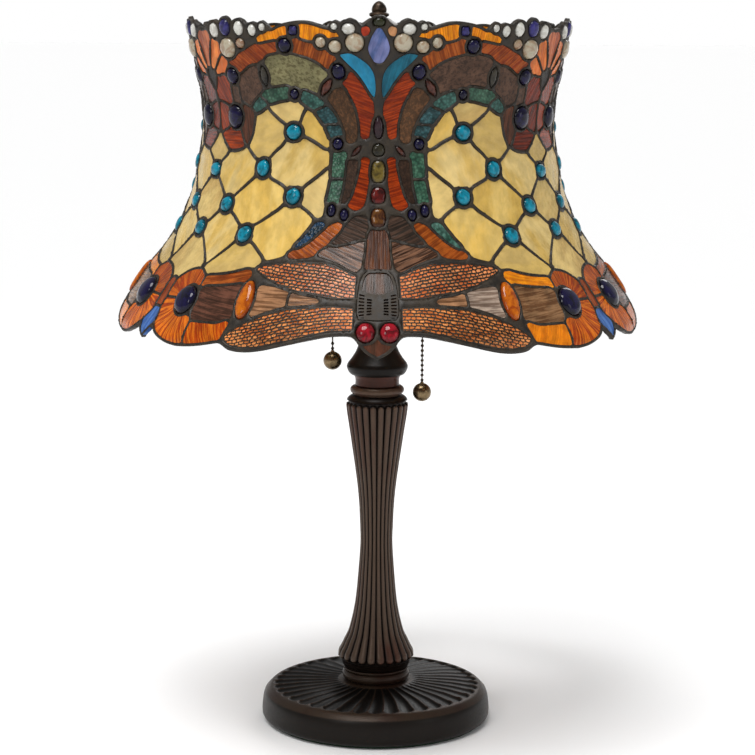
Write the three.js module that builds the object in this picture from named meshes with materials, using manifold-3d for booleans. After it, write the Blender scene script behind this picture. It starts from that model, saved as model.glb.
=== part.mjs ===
// Stained glass table lamp with a dragonfly shade: a cast and turned metal base, a two-light
// pull-chain cluster, and a leaded glass shade carried by a spider on a riser rod.
// Units are millimetres. +Z is up, the origin is on the table under the middle of the lamp,
// and the front of the lamp faces -Y. Angles around the shade are in degrees from the front.

import * as THREE from 'three';
import { mergeVertices } from 'three/addons/utils/BufferGeometryUtils.js';
import Module from 'manifold-3d';

const wasm = await Module();
wasm.setup();

// ---------------------------------------------------------------- driving dimensions
const FIT_GAP = 0.3;            // play left between pieces that touch
const ROD_RADIUS = 5.1;         // threaded lamp pipe through the base
const ROD_BORE = 3.2;
const ROD_CLEARANCE = 5.6;      // bore of everything threaded onto the lamp pipe
const ROD_BOTTOM = 9.5;
const ROD_TOP = 354;
const LEAD_RADIUS = 2;
const FELT_THICKNESS = 1.5;
const FELT_RADIUS = 97;
const FELT_HOLE = 24;           // leaves the nut under the foot free
const FOOT_BOTTOM = FELT_THICKNESS + FIT_GAP;
const FOOT_TOP = 35.2;          // flat seat under the column ring
const WEIGHT_RADIUS = 75;
const WEIGHT_BOTTOM = 15.5;
const WEIGHT_TOP = 26.4;
const INLET_HEIGHT = 12;        // cord inlet in the back of the foot
const COLUMN_BOTTOM = 47.4;
const COLUMN_TOP = 295.6;
const COLUMN_WALL = 5;
const NECK_BEAD_TOP = 304;
const NECK_COLLAR_TOP = 314;
const HUSK_TOP = 346;
const CLUSTER_TOP = 370;
const RISER_RADIUS = 3.2;
const RISER_BORE = 3.6;         // bore of the hub, cap and finial on the riser
const RISER_TOP = 632;
const HUB_RADIUS = 10;          // spider hub on the riser
const HUB_TOP = 624.2;
const ARM_REACH = 149.5;        // ends of the three spider arms
const ARM_WIDTH = 10;
const ARM_THICKNESS = 3;
const SHADE_THICKNESS = 4;
const MOTIFS = 3;               // the same picture is repeated three times round the shade
const SECTOR = 360 / MOTIFS;
const HALF_SECTOR = SECTOR / 2;
const PANEL_GAP = 0.16;         // half of the lead line left open between two panels
const PANEL_GAP_ANGLE = 0.06;   // the same gap as an angle
const RING_HEIGHT = 597.8;      // the band inside the shade that the spider arms hold
const SHADE_SEAT = -2.2;        // the shade's own heights are this much above their place
const SOCKET_TILT = 50;         // degrees that each socket leans out from upright
const SOCKET_START_X = 18;
const SOCKET_START_Z = 362;
const CHAIN_X = 39.8;           // both chains hang this far from the middle
const CHAIN_PIVOT_Z = 347;
const CHAIN_RADIUS = 1.5;
const BALL_RADIUS = 8.2;
const BALL_HEIGHT = { left: 326, right: 298 };
const LATHE_STEPS = 20;         // sides of the small turned pieces

const radians = THREE.MathUtils.degToRad;

// ---------------------------------------------------------------- materials
const BRONZE = new THREE.MeshStandardMaterial({ color: '#2a201c', roughness: 0.42, metalness: 0.85 });
const STEEL = new THREE.MeshStandardMaterial({ color: '#8e8f92', roughness: 0.4, metalness: 0.9 });
const IRON = new THREE.MeshStandardMaterial({ color: '#3b3c3e', roughness: 0.8, metalness: 0.6 });
const BRASS = new THREE.MeshStandardMaterial({ color: '#9a7b45', roughness: 0.35, metalness: 0.95 });
const FELT = new THREE.MeshStandardMaterial({ color: '#24372b', roughness: 1, metalness: 0 });
const PHENOLIC = new THREE.MeshStandardMaterial({ color: '#1b1a19', roughness: 0.5, metalness: 0 });
const LEAD_WIRE = new THREE.MeshStandardMaterial({ color: '#4a3a2a', roughness: 0.6, metalness: 0 });
const CARD = new THREE.MeshStandardMaterial({ color: '#3a332b', roughness: 0.9, metalness: 0 });
const BULB_GLASS = new THREE.MeshStandardMaterial({ color: '#f3ecd9', roughness: 0.2, metalness: 0 });
const DRAGONFLY_GLASS = new THREE.MeshStandardMaterial({ color: '#4b3226', roughness: 0.25, metalness: 0 });
const WING_GLASS = new THREE.MeshStandardMaterial({ color: '#b5612f', roughness: 0.3, metalness: 0.1 });
const EYE_GLASS = new THREE.MeshStandardMaterial({ color: '#d9731b', roughness: 0.25, metalness: 0 });
const CREAM_GLASS = new THREE.MeshStandardMaterial({ color: '#d9b76e', roughness: 0.3, metalness: 0 });
const CROWN_GLASS = new THREE.MeshStandardMaterial({ color: '#7d4b34', roughness: 0.25, metalness: 0 });

// ---------------------------------------------------------------- closed bodies
// Merges shared corners, drops triangles that have no area, and turns the faces outward.
function closedBody(geometry) {
  const bare = geometry.index ? geometry.toNonIndexed() : geometry.clone();
  for (const name of ['normal', 'uv', 'color']) {
    bare.deleteAttribute(name);
  }
  const merged = mergeVertices(bare, 1e-3);
  const index = merged.index.array;
  const position = merged.attributes.position;
  const corner = [new THREE.Vector3(), new THREE.Vector3(), new THREE.Vector3()];
  const kept = [];
  let volume = 0;
  for (let i = 0; i < index.length; i += 3) {
    const [a, b, c] = [index[i], index[i + 1], index[i + 2]];
    if (a === b || b === c || c === a) {
      continue;
    }
    [a, b, c].forEach((v, k) => corner[k].fromBufferAttribute(position, v));
    volume += corner[0].dot(corner[1].clone().cross(corner[2]));
    kept.push(a, b, c);
  }
  if (volume < 0) {
    for (let i = 0; i < kept.length; i += 3) {
      [kept[i], kept[i + 1]] = [kept[i + 1], kept[i]];
    }
  }
  merged.setIndex(kept);
  return merged;
}

function toSolid(geometry) {
  const body = closedBody(geometry);
  const mesh = new wasm.Mesh({
    numProp: 3,
    vertProperties: new Float32Array(body.attributes.position.array),
    triVerts: new Uint32Array(body.index.array),
  });
  mesh.merge();
  return new wasm.Manifold(mesh);
}

function fromSolid(solid) {
  const mesh = solid.getMesh();
  const geometry = new THREE.BufferGeometry();
  geometry.setAttribute('position', new THREE.BufferAttribute(mesh.vertProperties, 3));
  geometry.setIndex([...mesh.triVerts]);
  return geometry;
}

function cut(geometry, ...tools) {
  let solid = toSolid(geometry);
  for (const tool of tools) {
    solid = solid.subtract(toSolid(tool));
  }
  return fromSolid(solid);
}

function join(geometry, ...others) {
  let solid = toSolid(geometry);
  for (const other of others) {
    solid = solid.add(toSolid(other));
  }
  return fromSolid(solid);
}

// ---------------------------------------------------------------- shape helpers
// Turns [radius, height] points about the Z axis. An outline that leaves the axis is closed.
function turned(outline, segments = 32) {
  const points = outline.map(([radius, height]) => new THREE.Vector2(radius, height));
  const first = points[0];
  const last = points[points.length - 1];
  if (first.x > 0 || last.x > 0) {
    points.push(first.clone());
  }
  const geometry = new THREE.LatheGeometry(points, segments);
  geometry.rotateX(Math.PI / 2);
  return geometry;
}

// An upright cylinder between two heights.
function post(radius, bottom, top, segments = 24) {
  return turned([[0, bottom], [radius, bottom], [radius, top], [0, top]], segments);
}

// An upright ring or tube between two heights.
function tube(outer, bore, bottom, top, segments = 32) {
  return turned([[bore, bottom], [outer, bottom], [outer, top], [bore, top]], segments);
}

// Points of a round moulding: a quarter, half or longer arc in the [radius, height] plane.
function arc(centreRadius, centreHeight, size, fromDegrees, toDegrees, steps) {
  const points = [];
  for (let i = 0; i <= steps; i += 1) {
    const angle = radians(fromDegrees + ((toDegrees - fromDegrees) * i) / steps);
    points.push([centreRadius + size * Math.cos(angle), centreHeight + size * Math.sin(angle)]);
  }
  return points;
}

// A smooth curve through [height, radius] stations, read as a radius at any height.
function smoothProfile(stations) {
  const heights = stations.map(([height]) => height);
  const radii = stations.map(([, radius]) => radius);
  const curve = new THREE.CubicInterpolant(heights, radii, 1, new Float64Array(1));
  return (height) => curve.evaluate(height)[0];
}

function evenly(from, to, count) {
  return Array.from({ length: count + 1 }, (_, i) => from + ((to - from) * i) / count);
}

// ---------------------------------------------------------------- the lamp as a scene graph
const lamp = new THREE.Group();

function add(name, geometry, material, place = (mesh) => mesh) {
  const mesh = new THREE.Mesh(closedBody(geometry), material);
  mesh.name = name;
  place(mesh);
  lamp.add(mesh);
  return mesh;
}

// ---------------------------------------------------------------- base
function buildFoot() {
  const outside = [
    [97.5, FOOT_BOTTOM], [102, 4], [102.8, 9], [101.6, 18], [98.6, 25.4], [93, 30.2],
    [86, 31.4], [33, FOOT_TOP], [ROD_CLEARANCE, FOOT_TOP],
  ];
  const inside = [
    [ROD_CLEARANCE, 30], [30, 30], [86, 26.2], [94.4, 19], [96.6, 9], [93, FOOT_BOTTOM],
  ];
  const inlet = post(6.2, 85, 110, 14);
  inlet.rotateX(-Math.PI / 2);
  inlet.translate(0, 0, INLET_HEIGHT);
  return cut(turned([...outside, ...inside], 36), inlet);
}

function buildInletBushing() {
  const outline = [
    [3.3, 92.5], [5.9, 92.5], [5.9, 103.2], [7.6, 103.2], [7.6, 104.2], [6.6, 105], [3.3, 105],
  ];
  const bushing = turned(outline, 14);
  bushing.rotateX(-Math.PI / 2);
  return bushing;
}

// The pair of wires held inside the lamp: in from the bushing, under the weight, up the pipe.
function buildInternalLead() {
  const bend = new THREE.CatmullRomCurve3([
    new THREE.Vector3(0, 91, 11.4),
    new THREE.Vector3(0, 82, 8.4),
    new THREE.Vector3(0, 70, 4.6),
    new THREE.Vector3(0, 40, 4.1),
    new THREE.Vector3(0, 12, 4.2),
    new THREE.Vector3(0, 4, 5.8),
    new THREE.Vector3(0, 0.3, 11),
    new THREE.Vector3(0, 0, 24),
  ], false, 'centripetal');
  const section = new THREE.Shape();
  section.absarc(0, 0, LEAD_RADIUS, 0, 2 * Math.PI, false);
  const low = new THREE.ExtrudeGeometry(section, { extrudePath: bend, steps: 26, curveSegments: 4 });
  return join(low, post(LEAD_RADIUS - 0.05, 22, ROD_TOP - 1, 8));
}

function buildHexNut(acrossFlats, bore, bottom, top) {
  const outline = new THREE.Shape();
  const corner = acrossFlats / Math.sqrt(3);
  for (let i = 0; i < 6; i += 1) {
    const angle = radians(60 * i + 30);
    outline[i === 0 ? 'moveTo' : 'lineTo'](corner * Math.cos(angle), corner * Math.sin(angle));
  }
  outline.closePath();
  const hole = new THREE.Path();
  hole.absarc(0, 0, bore, 0, 2 * Math.PI, true);
  outline.holes.push(hole);
  const nut = new THREE.ExtrudeGeometry(outline, {
    depth: top - bottom, bevelEnabled: false, curveSegments: 8,
  });
  nut.translate(0, 0, bottom);
  return nut;
}

add('base_felt', tube(FELT_RADIUS, FELT_HOLE, 0, FELT_THICKNESS, 36), FELT);
add('base_foot', buildFoot(), BRONZE);
const weight = tube(WEIGHT_RADIUS, ROD_CLEARANCE + 2 * FIT_GAP, WEIGHT_BOTTOM, WEIGHT_TOP, 32);
add('base_weight', weight, IRON);
add('cord_bushing', buildInletBushing(), PHENOLIC, (mesh) => mesh.position.set(0, 0, INLET_HEIGHT));
add('internal_lead', buildInternalLead(), LEAD_WIRE);
add('rod_nut', buildHexNut(15, ROD_RADIUS + FIT_GAP, 9.9, 13.9), STEEL);
add('lock_washer', tube(11, ROD_CLEARANCE, 14.2, 15.2, 16), STEEL);
add('center_rod', tube(ROD_RADIUS, ROD_BORE, ROD_BOTTOM, ROD_TOP, 16), STEEL);

// ---------------------------------------------------------------- column and neck
const columnRadius = smoothProfile([
  [58, 34.3], [62, 33.6], [67, 30.9], [73, 28.2], [78.5, 25.4], [90, 22.2], [101, 19.9],
  [112, 18.3], [134, 16.3], [162, 14.5], [179, 14.9], [196, 15.7], [212, 17.1], [229, 19.3],
  [250, 22.4], [261, 24], [272, 25.7], [279, 26.8], [287, 27.6],
]);

function buildColumnRing() {
  const outline = [
    [ROD_CLEARANCE, FOOT_TOP + FIT_GAP], [27, FOOT_TOP + FIT_GAP],
    ...arc(25.8, 40.3, 4.5, -70, 70, 5),
    [29.3, 45.5], [29.3, COLUMN_BOTTOM - FIT_GAP], [ROD_CLEARANCE, COLUMN_BOTTOM - FIT_GAP],
  ];
  return turned(outline, LATHE_STEPS);
}

function buildColumn() {
  const heights = [59, 66, 75, 88, 106, 134, 165, 200, 232, 258, 280, 287];
  const outside = [
    [28, COLUMN_BOTTOM], [31.6, 54],
    ...heights.map((height) => [columnRadius(height), height]),
    [27.2, 291], [25.8, 293.4], [22.4, COLUMN_TOP],
  ];
  const hollow = [280, 258, 200, 134, 88, 66].map((height) => [columnRadius(height) - COLUMN_WALL, height]);
  const inside = [
    [ROD_CLEARANCE, COLUMN_TOP], [ROD_CLEARANCE, 290], ...hollow, [ROD_CLEARANCE, 52],
    [ROD_CLEARANCE, COLUMN_BOTTOM],
  ];
  return turned([...outside, ...inside], LATHE_STEPS);
}

function buildNeckBead() {
  const bottom = COLUMN_TOP + FIT_GAP;
  const outline = [
    [ROD_CLEARANCE, bottom], [20.8, bottom], [21.2, 296.8],
    ...arc(20.4, 300.4, 3.6, -60, 60, 4),
    [20, NECK_BEAD_TOP], [ROD_CLEARANCE, NECK_BEAD_TOP],
  ];
  return turned(outline, LATHE_STEPS);
}

function buildNeckCollar() {
  const bottom = NECK_BEAD_TOP + FIT_GAP;
  const outline = [
    [ROD_CLEARANCE, bottom], [19.7, bottom], [19.4, 308], [21.2, NECK_COLLAR_TOP],
    [ROD_CLEARANCE, NECK_COLLAR_TOP],
  ];
  return turned(outline, LATHE_STEPS);
}

function buildHusk() {
  const bottom = NECK_COLLAR_TOP + FIT_GAP;
  const outline = [
    [ROD_CLEARANCE, bottom], [23.5, bottom], [26.6, 318], [27.3, 321], [26, 324.6],
    [19.8, 333], [17, 339], [16.4, HUSK_TOP],
    [13.4, HUSK_TOP], [14, 339], [22.5, 324.6], [20, 317.8], [ROD_CLEARANCE, 317.8],
  ];
  return turned(outline, LATHE_STEPS);
}

add('column_ring', buildColumnRing(), BRONZE);
add('column', buildColumn(), BRONZE);
add('neck_bead', buildNeckBead(), BRONZE);
add('neck_collar', buildNeckCollar(), BRONZE);
add('husk', buildHusk(), BRONZE);

// ---------------------------------------------------------------- two-light cluster
const SIDES = { left: -1, right: 1 };
const SOCKET_WALL_RADIUS = 17;
const CAP_END = 20;             // distances along the socket axis from its start
const NIPPLE_START = -7;
const NIPPLE_END = 8;
const SHELL_END = 56;

// Leans a piece built along +Z out to one side, as the sockets do.
function leanOut(geometry, side) {
  geometry.rotateY(radians(SOCKET_TILT) * side);
  geometry.translate(SOCKET_START_X * side, 0, SOCKET_START_Z);
  return geometry;
}

function buildClusterBody() {
  const bottom = HUSK_TOP + FIT_GAP;
  const outline = [
    [ROD_CLEARANCE, bottom], [15, bottom], [19.4, 352], [19.4, 366], [16, CLUSTER_TOP],
    [RISER_BORE, CLUSTER_TOP], [RISER_BORE, 366.5], [16.4, 365], [16.4, 353], [ROD_CLEARANCE, 350],
  ];
  const ports = Object.values(SIDES).map((side) => (
    leanOut(post(5.4, NIPPLE_START - 2, NIPPLE_END, 12), side)
  ));
  return cut(turned(outline, LATHE_STEPS), ...ports);
}

function buildNipple(side) {
  return leanOut(tube(4.9, 3, NIPPLE_START, NIPPLE_END, 12), side);
}

function buildSocketCap(side) {
  const wall = 1.2;
  const outline = [
    [5.4, 4.8], [7.4, 4.8], [14.2, 7.4], [SOCKET_WALL_RADIUS, 11.6], [SOCKET_WALL_RADIUS, CAP_END],
    [SOCKET_WALL_RADIUS - wall, CAP_END], [SOCKET_WALL_RADIUS - wall, 12], [13.4, 8.7],
    [7.4, 6.2], [5.4, 6.2],
  ];
  const chainHole = post(2.3, 350, 364, 10);
  chainHole.translate(CHAIN_X * side, 0, 0);
  return cut(leanOut(turned(outline, LATHE_STEPS), side), chainHole);
}

function buildSocketShell(side) {
  const outline = [
    [15.8, CAP_END + FIT_GAP], [17, CAP_END + FIT_GAP], [16.6, 28], [16.6, SHELL_END - 3],
    [17.4, SHELL_END], [16.4, SHELL_END], [15.8, SHELL_END - 3],
  ];
  return leanOut(turned(outline, LATHE_STEPS), side);
}

function buildSocketInsert(side) {
  const outline = [
    [4, 21.4], [15.3, 21.4], [15.3, 46.5], [13.7, 46.5], [13.7, 23.6], [4, 23.6],
  ];
  return leanOut(turned(outline, 16), side);
}

function buildBulb(side) {
  const wall = 1.2;
  const globe = arc(0, 88, 30, -50, 70, 5);
  const globeInside = arc(0, 88, 30 - wall, 70, -50, 5);
  const outline = [
    [12.9, 24.4], [12.9, 47], [15.4, 57], ...globe, [0, 118],
    [0, 118 - wall], ...globeInside, [15.4 - wall, 57.3], [12.9 - wall, 47.3], [12.9 - wall, 24.4],
  ];
  return leanOut(turned(outline, 14), side);
}

// A short upright spout with a bell mouth; its top is cut to the slope of the socket cap.
function buildChainGuide(side) {
  const outline = [
    [2.1, 351.4], [4.4, 351.4], [3.4, 353.4], [3.4, 364], [2.1, 364],
  ];
  const spout = turned(outline, 12);
  spout.translate(CHAIN_X * side, 0, 0);
  const cap = leanOut(post(SOCKET_WALL_RADIUS + FIT_GAP, 0, 40, LATHE_STEPS), side);
  return cut(spout, cap);
}

function buildPullChain(side, ballHeight) {
  const chain = post(CHAIN_RADIUS, ballHeight + BALL_RADIUS + FIT_GAP, CHAIN_PIVOT_Z - 1, 8);
  chain.translate(CHAIN_X * side, 0, 0);
  return chain;
}

function buildPullBall(side, ballHeight) {
  const outline = [
    [0, ballHeight - BALL_RADIUS],
    ...arc(0, ballHeight, BALL_RADIUS, -60, 60, 4),
    [0, ballHeight + BALL_RADIUS],
  ];
  const ball = turned(outline, 12);
  ball.translate(CHAIN_X * side, 0, 0);
  return ball;
}

add('cluster_body', buildClusterBody(), BRASS);
for (const [word, side] of Object.entries(SIDES)) {
  const link = post(1.2, CHAIN_PIVOT_Z + 1, 361.5, 8);
  link.translate(CHAIN_X * side, 0, 0);
  add(`socket_nipple_${word}`, buildNipple(side), STEEL);
  add(`socket_cap_${word}`, buildSocketCap(side), BRASS);
  add(`socket_shell_${word}`, buildSocketShell(side), BRASS);
  add(`socket_insert_${word}`, buildSocketInsert(side), CARD);
  add(`bulb_${word}`, buildBulb(side), BULB_GLASS);
  add(`chain_guide_${word}`, buildChainGuide(side), BRASS);
  add(`pull_link_${word}`, link, BRASS);
  add(`pull_chain_${word}`, buildPullChain(side, BALL_HEIGHT[word]), BRASS);
  add(`pull_ball_${word}`, buildPullBall(side, BALL_HEIGHT[word]), BRASS);
}

// ---------------------------------------------------------------- shade support
function buildSpider() {
  const hub = tube(HUB_RADIUS, RISER_BORE, RING_HEIGHT - ARM_THICKNESS, HUB_TOP, 16);
  const armStart = HUB_RADIUS - 4;
  const armLength = ARM_REACH - armStart;
  const arms = evenly(0, 2, 2).map((i) => {
    const arm = new THREE.BoxGeometry(armLength, ARM_WIDTH, ARM_THICKNESS);
    arm.translate(armStart + armLength / 2, 0, RING_HEIGHT);
    arm.rotateZ(radians(SECTOR * i - 90 + HALF_SECTOR));
    return arm;
  });
  const bore = post(RISER_BORE, RING_HEIGHT - 20, HUB_TOP + 20, 16);
  return cut(join(hub, ...arms), bore);
}

function buildVaseCap() {
  const outline = [
    [RISER_BORE, 626.4], [8.6, 626.4], [14, 622.8], [26, 617], [45, 609],
    [45, 607.4], [26, 615.4], [13.6, 621.2], [11, 624.6], [RISER_BORE, 624.6],
  ];
  return turned(outline, 28);
}

function buildFinial() {
  const outline = [
    [RISER_BORE, 626.8], [6.4, 626.8], [8.7, 628.8], [8.7, 630.2], [6.4, 631.6], [6.7, 633.2],
    [5.8, 636.4], [3.6, 639.4], [0, 641.1], [0, 634], [RISER_BORE, 634],
  ];
  return turned(outline, 16);
}

add('riser_rod', post(RISER_RADIUS, CLUSTER_TOP - 4.6, RISER_TOP, 12), STEEL);
add('shade_spider', buildSpider(), BRASS);
add('vase_cap', buildVaseCap(), BRONZE);
add('finial', buildFinial(), BRONZE);

// ---------------------------------------------------------------- leaded glass shade
const bellRadius = smoothProfile([
  [340, 225.5], [350, 226], [362, 227], [376, 226], [390, 218.5], [412, 203.5], [435, 185],
  [465, 168], [500, 157.5], [540, 152.5], [575, 154.5], [612, 160.5], [630, 163.5],
]);

function ramp(from, to, value) {
  return THREE.MathUtils.smoothstep(value, Math.min(from, to), Math.max(from, to));
}

// Outer radius of the shade. Halfway between two dragonflies the wall is drawn in a little
// above the rim and flares out a little at the crown.
function shadeRadius(angle, height) {
  const between = ((1 - Math.cos(radians(angle * MOTIFS))) / 2) ** 3;
  const drawnIn = 7 * ramp(366, 386, height) * (1 - ramp(415, 470, height));
  const flared = 8 * ramp(540, 605, height);
  return bellRadius(height) + between * (flared - drawnIn);
}

// Straight runs between [angle, height] stations, mirrored about the front and about the
// half sector, so one eighth-like piece of outline serves the whole way round.
function mirrored(stations) {
  return (angle) => {
    const turn = ((angle % SECTOR) + SECTOR) % SECTOR;
    const a = turn > HALF_SECTOR ? SECTOR - turn : turn;
    const next = Math.max(1, stations.findIndex(([x]) => x >= a - 1e-9));
    const [a0, z0] = stations[next - 1];
    const [a1, z1] = stations[next];
    return z0 + ((z1 - z0) * (a - a0)) / (a1 - a0);
  };
}

// Scalloped lower rim: head tip, wings, petals, blue tip.
const lowerRim = mirrored([
  [0, 361.5], [2.5, 368], [5, 379], [10, 379], [14.5, 375], [20, 369], [26, 363.4],
  [31, 363], [33.5, 369], [38, 366.5], [44, 362], [50, 362], [57, 371], [60, 363.5],
]);
const wingSeam = mirrored([
  [0, 437], [14.5, 436.5], [31, 430], [33.5, 424], [44, 416], [54, 421], [60, 414],
]);
const crownSeam = mirrored([
  [0, 560], [10, 548], [14.5, 530], [20, 550], [26, 559.5], [31, 560.5], [38, 551],
  [41.5, 543], [44, 521], [54, 519], [60, 531],
]);
// Upper rim, raised to a crest in front and over each pearl and jewel.
const upperRim = mirrored([
  [0, 628.4], [1.8, 627.6], [4.9, 619.8], [8, 625], [10, 622], [12.5, 624.6], [14.5, 621], [20, 623], [26, 624],
  [31, 620.6], [35, 624], [38, 623], [41.5, 622], [44, 626], [48.7, 627], [54, 624.5], [60, 621],
]);

const SEAM_ANGLES = [0, 5, 10, 14.5, 20, 26, 31, 33.5, 38, 41.5, 44, 54, 60];
const CROWN_ANGLES = [0, 1.8, 4.9, 8, 10, 12.5, 14.5, 20, 26, 31, 35, 38, 41.5, 44, 48.7, 54, 60];

// The listed angles that fall between two ends, with the ends drawn in by the lead line.
function columnsBetween(from, to, angles) {
  const round = [-SECTOR, 0, SECTOR, 2 * SECTOR].flatMap((turn) => (
    angles.flatMap((angle) => [turn + angle, turn - angle])
  ));
  const inside = [...new Set(round)].filter((angle) => angle > from + 0.4 && angle < to - 0.4);
  return [from + PANEL_GAP_ANGLE, ...inside.sort((a, b) => a - b), to - PANEL_GAP_ANGLE];
}

// A curved panel: rows of [angle, height] corners, skinned outside and inside and closed at
// its four edges.
function buildPanel(rows, turn) {
  const columns = rows[0].length;
  const skins = [0, SHADE_THICKNESS].map((depth) => rows.map((row) => row.map(([angle, height]) => {
    const radius = shadeRadius(angle, height) - depth;
    const direction = radians(angle + turn - 90);
    return [radius * Math.cos(direction), radius * Math.sin(direction), height + SHADE_SEAT];
  })));
  const [outer, inner] = skins;
  const positions = [];
  const quad = (a, b, c, d) => positions.push(...a, ...b, ...c, ...a, ...c, ...d);
  for (let r = 0; r + 1 < rows.length; r += 1) {
    for (let c = 0; c + 1 < columns; c += 1) {
      quad(outer[r][c], outer[r][c + 1], outer[r + 1][c + 1], outer[r + 1][c]);
      quad(inner[r][c + 1], inner[r][c], inner[r + 1][c], inner[r + 1][c + 1]);
    }
    quad(inner[r][0], outer[r][0], outer[r + 1][0], inner[r + 1][0]);
    const end = columns - 1;
    quad(outer[r][end], inner[r][end], inner[r + 1][end], outer[r + 1][end]);
  }
  const top = rows.length - 1;
  for (let c = 0; c + 1 < columns; c += 1) {
    quad(inner[0][c], inner[0][c + 1], outer[0][c + 1], outer[0][c]);
    quad(outer[top][c], outer[top][c + 1], inner[top][c + 1], inner[top][c]);
  }
  const geometry = new THREE.BufferGeometry();
  geometry.setAttribute('position', new THREE.Float32BufferAttribute(positions, 3));
  return geometry;
}

// Rows of corners between a lower and an upper outline.
function rowsBetween(from, to, lower, upper, angles, count) {
  const columns = columnsBetween(from, to, angles);
  return evenly(0, 1, count).map((share) => columns.map((angle) => {
    const bottom = lower(angle) + PANEL_GAP;
    const top = upper(angle) - PANEL_GAP;
    return [angle, bottom + (top - bottom) * share];
  }));
}

// The dragonfly: narrow through head and body, then as wide as the border strips by its tail.
function dragonflyRows() {
  const neckHalf = 5;
  const tailHalf = 14.5;
  const across = evenly(-1, 1, 4);
  const levels = [
    { half: neckHalf, height: (angle) => lowerRim(angle) + PANEL_GAP },
    { half: neckHalf, height: () => 392 },
    { half: neckHalf, height: () => 410 },
    { half: neckHalf, height: () => 426 },
    { half: tailHalf, height: () => 437 },
    { half: tailHalf, height: () => 462 },
    { half: tailHalf, height: () => 494 },
    { half: tailHalf, height: (angle) => crownSeam(angle) - PANEL_GAP },
  ];
  return levels.map(({ half, height }) => across.map((share) => {
    const angle = share * (half - PANEL_GAP_ANGLE);
    return [angle, height(angle)];
  }));
}

// Upper edge of a wing: up beside the dragonfly, then along the wing seam.
function wingTop(angle) {
  const rise = 426 + ((Math.abs(angle) - 5) * (437 - 426)) / (14.5 - 5);
  return Math.min(rise, wingSeam(angle)) - PANEL_GAP;
}

for (let motif = 0; motif < MOTIFS; motif += 1) {
  const turn = SECTOR * motif;
  const number = motif + 1;
  add(`dragonfly_${number}`, buildPanel(dragonflyRows(), turn), DRAGONFLY_GLASS);
  for (const [word, side] of Object.entries(SIDES)) {
    const [from, to] = side > 0 ? [5, 33.5] : [-33.5, -5];
    const rows = rowsBetween(from, to, lowerRim, wingTop, SEAM_ANGLES, 3);
    add(`wing_${number}_${word}`, buildPanel(rows, turn), WING_GLASS);
  }
  const eye = rowsBetween(33.5, 86.5, lowerRim, wingSeam, SEAM_ANGLES, 3);
  add(`eye_panel_${number}`, buildPanel(eye, turn), EYE_GLASS);
  const lattice = rowsBetween(14.5, 105.5, wingSeam, crownSeam, SEAM_ANGLES, 5);
  add(`lattice_panel_${number}`, buildPanel(lattice, turn), CREAM_GLASS);
  for (const [word, side] of Object.entries(SIDES)) {
    const [from, to] = side > 0 ? [0, 60] : [-60, 0];
    const rows = rowsBetween(from, to, crownSeam, upperRim, CROWN_ANGLES, 3);
    add(`crown_${number}_${word}`, buildPanel(rows, turn), CROWN_GLASS);
  }
}

// Brass band soldered inside the shade; the ends of the spider arms sit against it.
const bandHalfHeight = 5;
const bandOutside = bellRadius(RING_HEIGHT - SHADE_SEAT - bandHalfHeight) - SHADE_THICKNESS - 0.8;
const band = tube(
  bandOutside, bandOutside - 2.4, RING_HEIGHT - bandHalfHeight, RING_HEIGHT + bandHalfHeight, 48,
);
add('shade_band', band, BRASS);

export default lamp;
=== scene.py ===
"""Looks of the stained glass table lamp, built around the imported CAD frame.

Lengths in the pattern are millimetres and angles are degrees round the shade from its front,
as on the shade itself; meshes are handed to Blender in metres.
"""
import itertools
import math
import random

import bpy
import numpy as np
from mathutils import Matrix, Vector
from mathutils.geometry import delaunay_2d_cdt, intersect_line_line_2d
from mathutils.kdtree import KDTree


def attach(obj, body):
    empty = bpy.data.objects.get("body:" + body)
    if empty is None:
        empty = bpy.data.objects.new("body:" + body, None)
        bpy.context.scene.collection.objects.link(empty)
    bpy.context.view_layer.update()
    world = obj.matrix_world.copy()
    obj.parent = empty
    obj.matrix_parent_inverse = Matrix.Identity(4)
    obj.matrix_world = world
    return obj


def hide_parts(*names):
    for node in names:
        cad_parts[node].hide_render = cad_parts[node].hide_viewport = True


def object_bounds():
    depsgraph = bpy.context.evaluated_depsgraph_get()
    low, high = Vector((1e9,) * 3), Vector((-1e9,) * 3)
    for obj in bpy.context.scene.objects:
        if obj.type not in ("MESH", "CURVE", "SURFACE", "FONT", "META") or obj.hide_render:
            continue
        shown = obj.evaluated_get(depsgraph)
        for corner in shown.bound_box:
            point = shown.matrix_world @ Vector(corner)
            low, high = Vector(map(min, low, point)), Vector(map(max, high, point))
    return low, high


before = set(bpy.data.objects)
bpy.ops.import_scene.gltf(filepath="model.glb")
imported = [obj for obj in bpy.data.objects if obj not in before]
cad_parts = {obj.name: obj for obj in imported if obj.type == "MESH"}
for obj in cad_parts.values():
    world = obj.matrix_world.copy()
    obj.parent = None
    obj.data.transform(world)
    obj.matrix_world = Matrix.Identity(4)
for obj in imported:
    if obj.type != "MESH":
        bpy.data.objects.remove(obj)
cad_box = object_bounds()

MM = 0.001
MOTIFS = 3
SECTOR = 360 / MOTIFS
HALF = SECTOR / 2
GLASS_THICKNESS = 3.0
LEAD_RISE = 0.9          # crown of a solder line above its edges
LEAD_EDGE = 0.3          # height of its edges above the glass
rng = random.Random(7)


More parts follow.
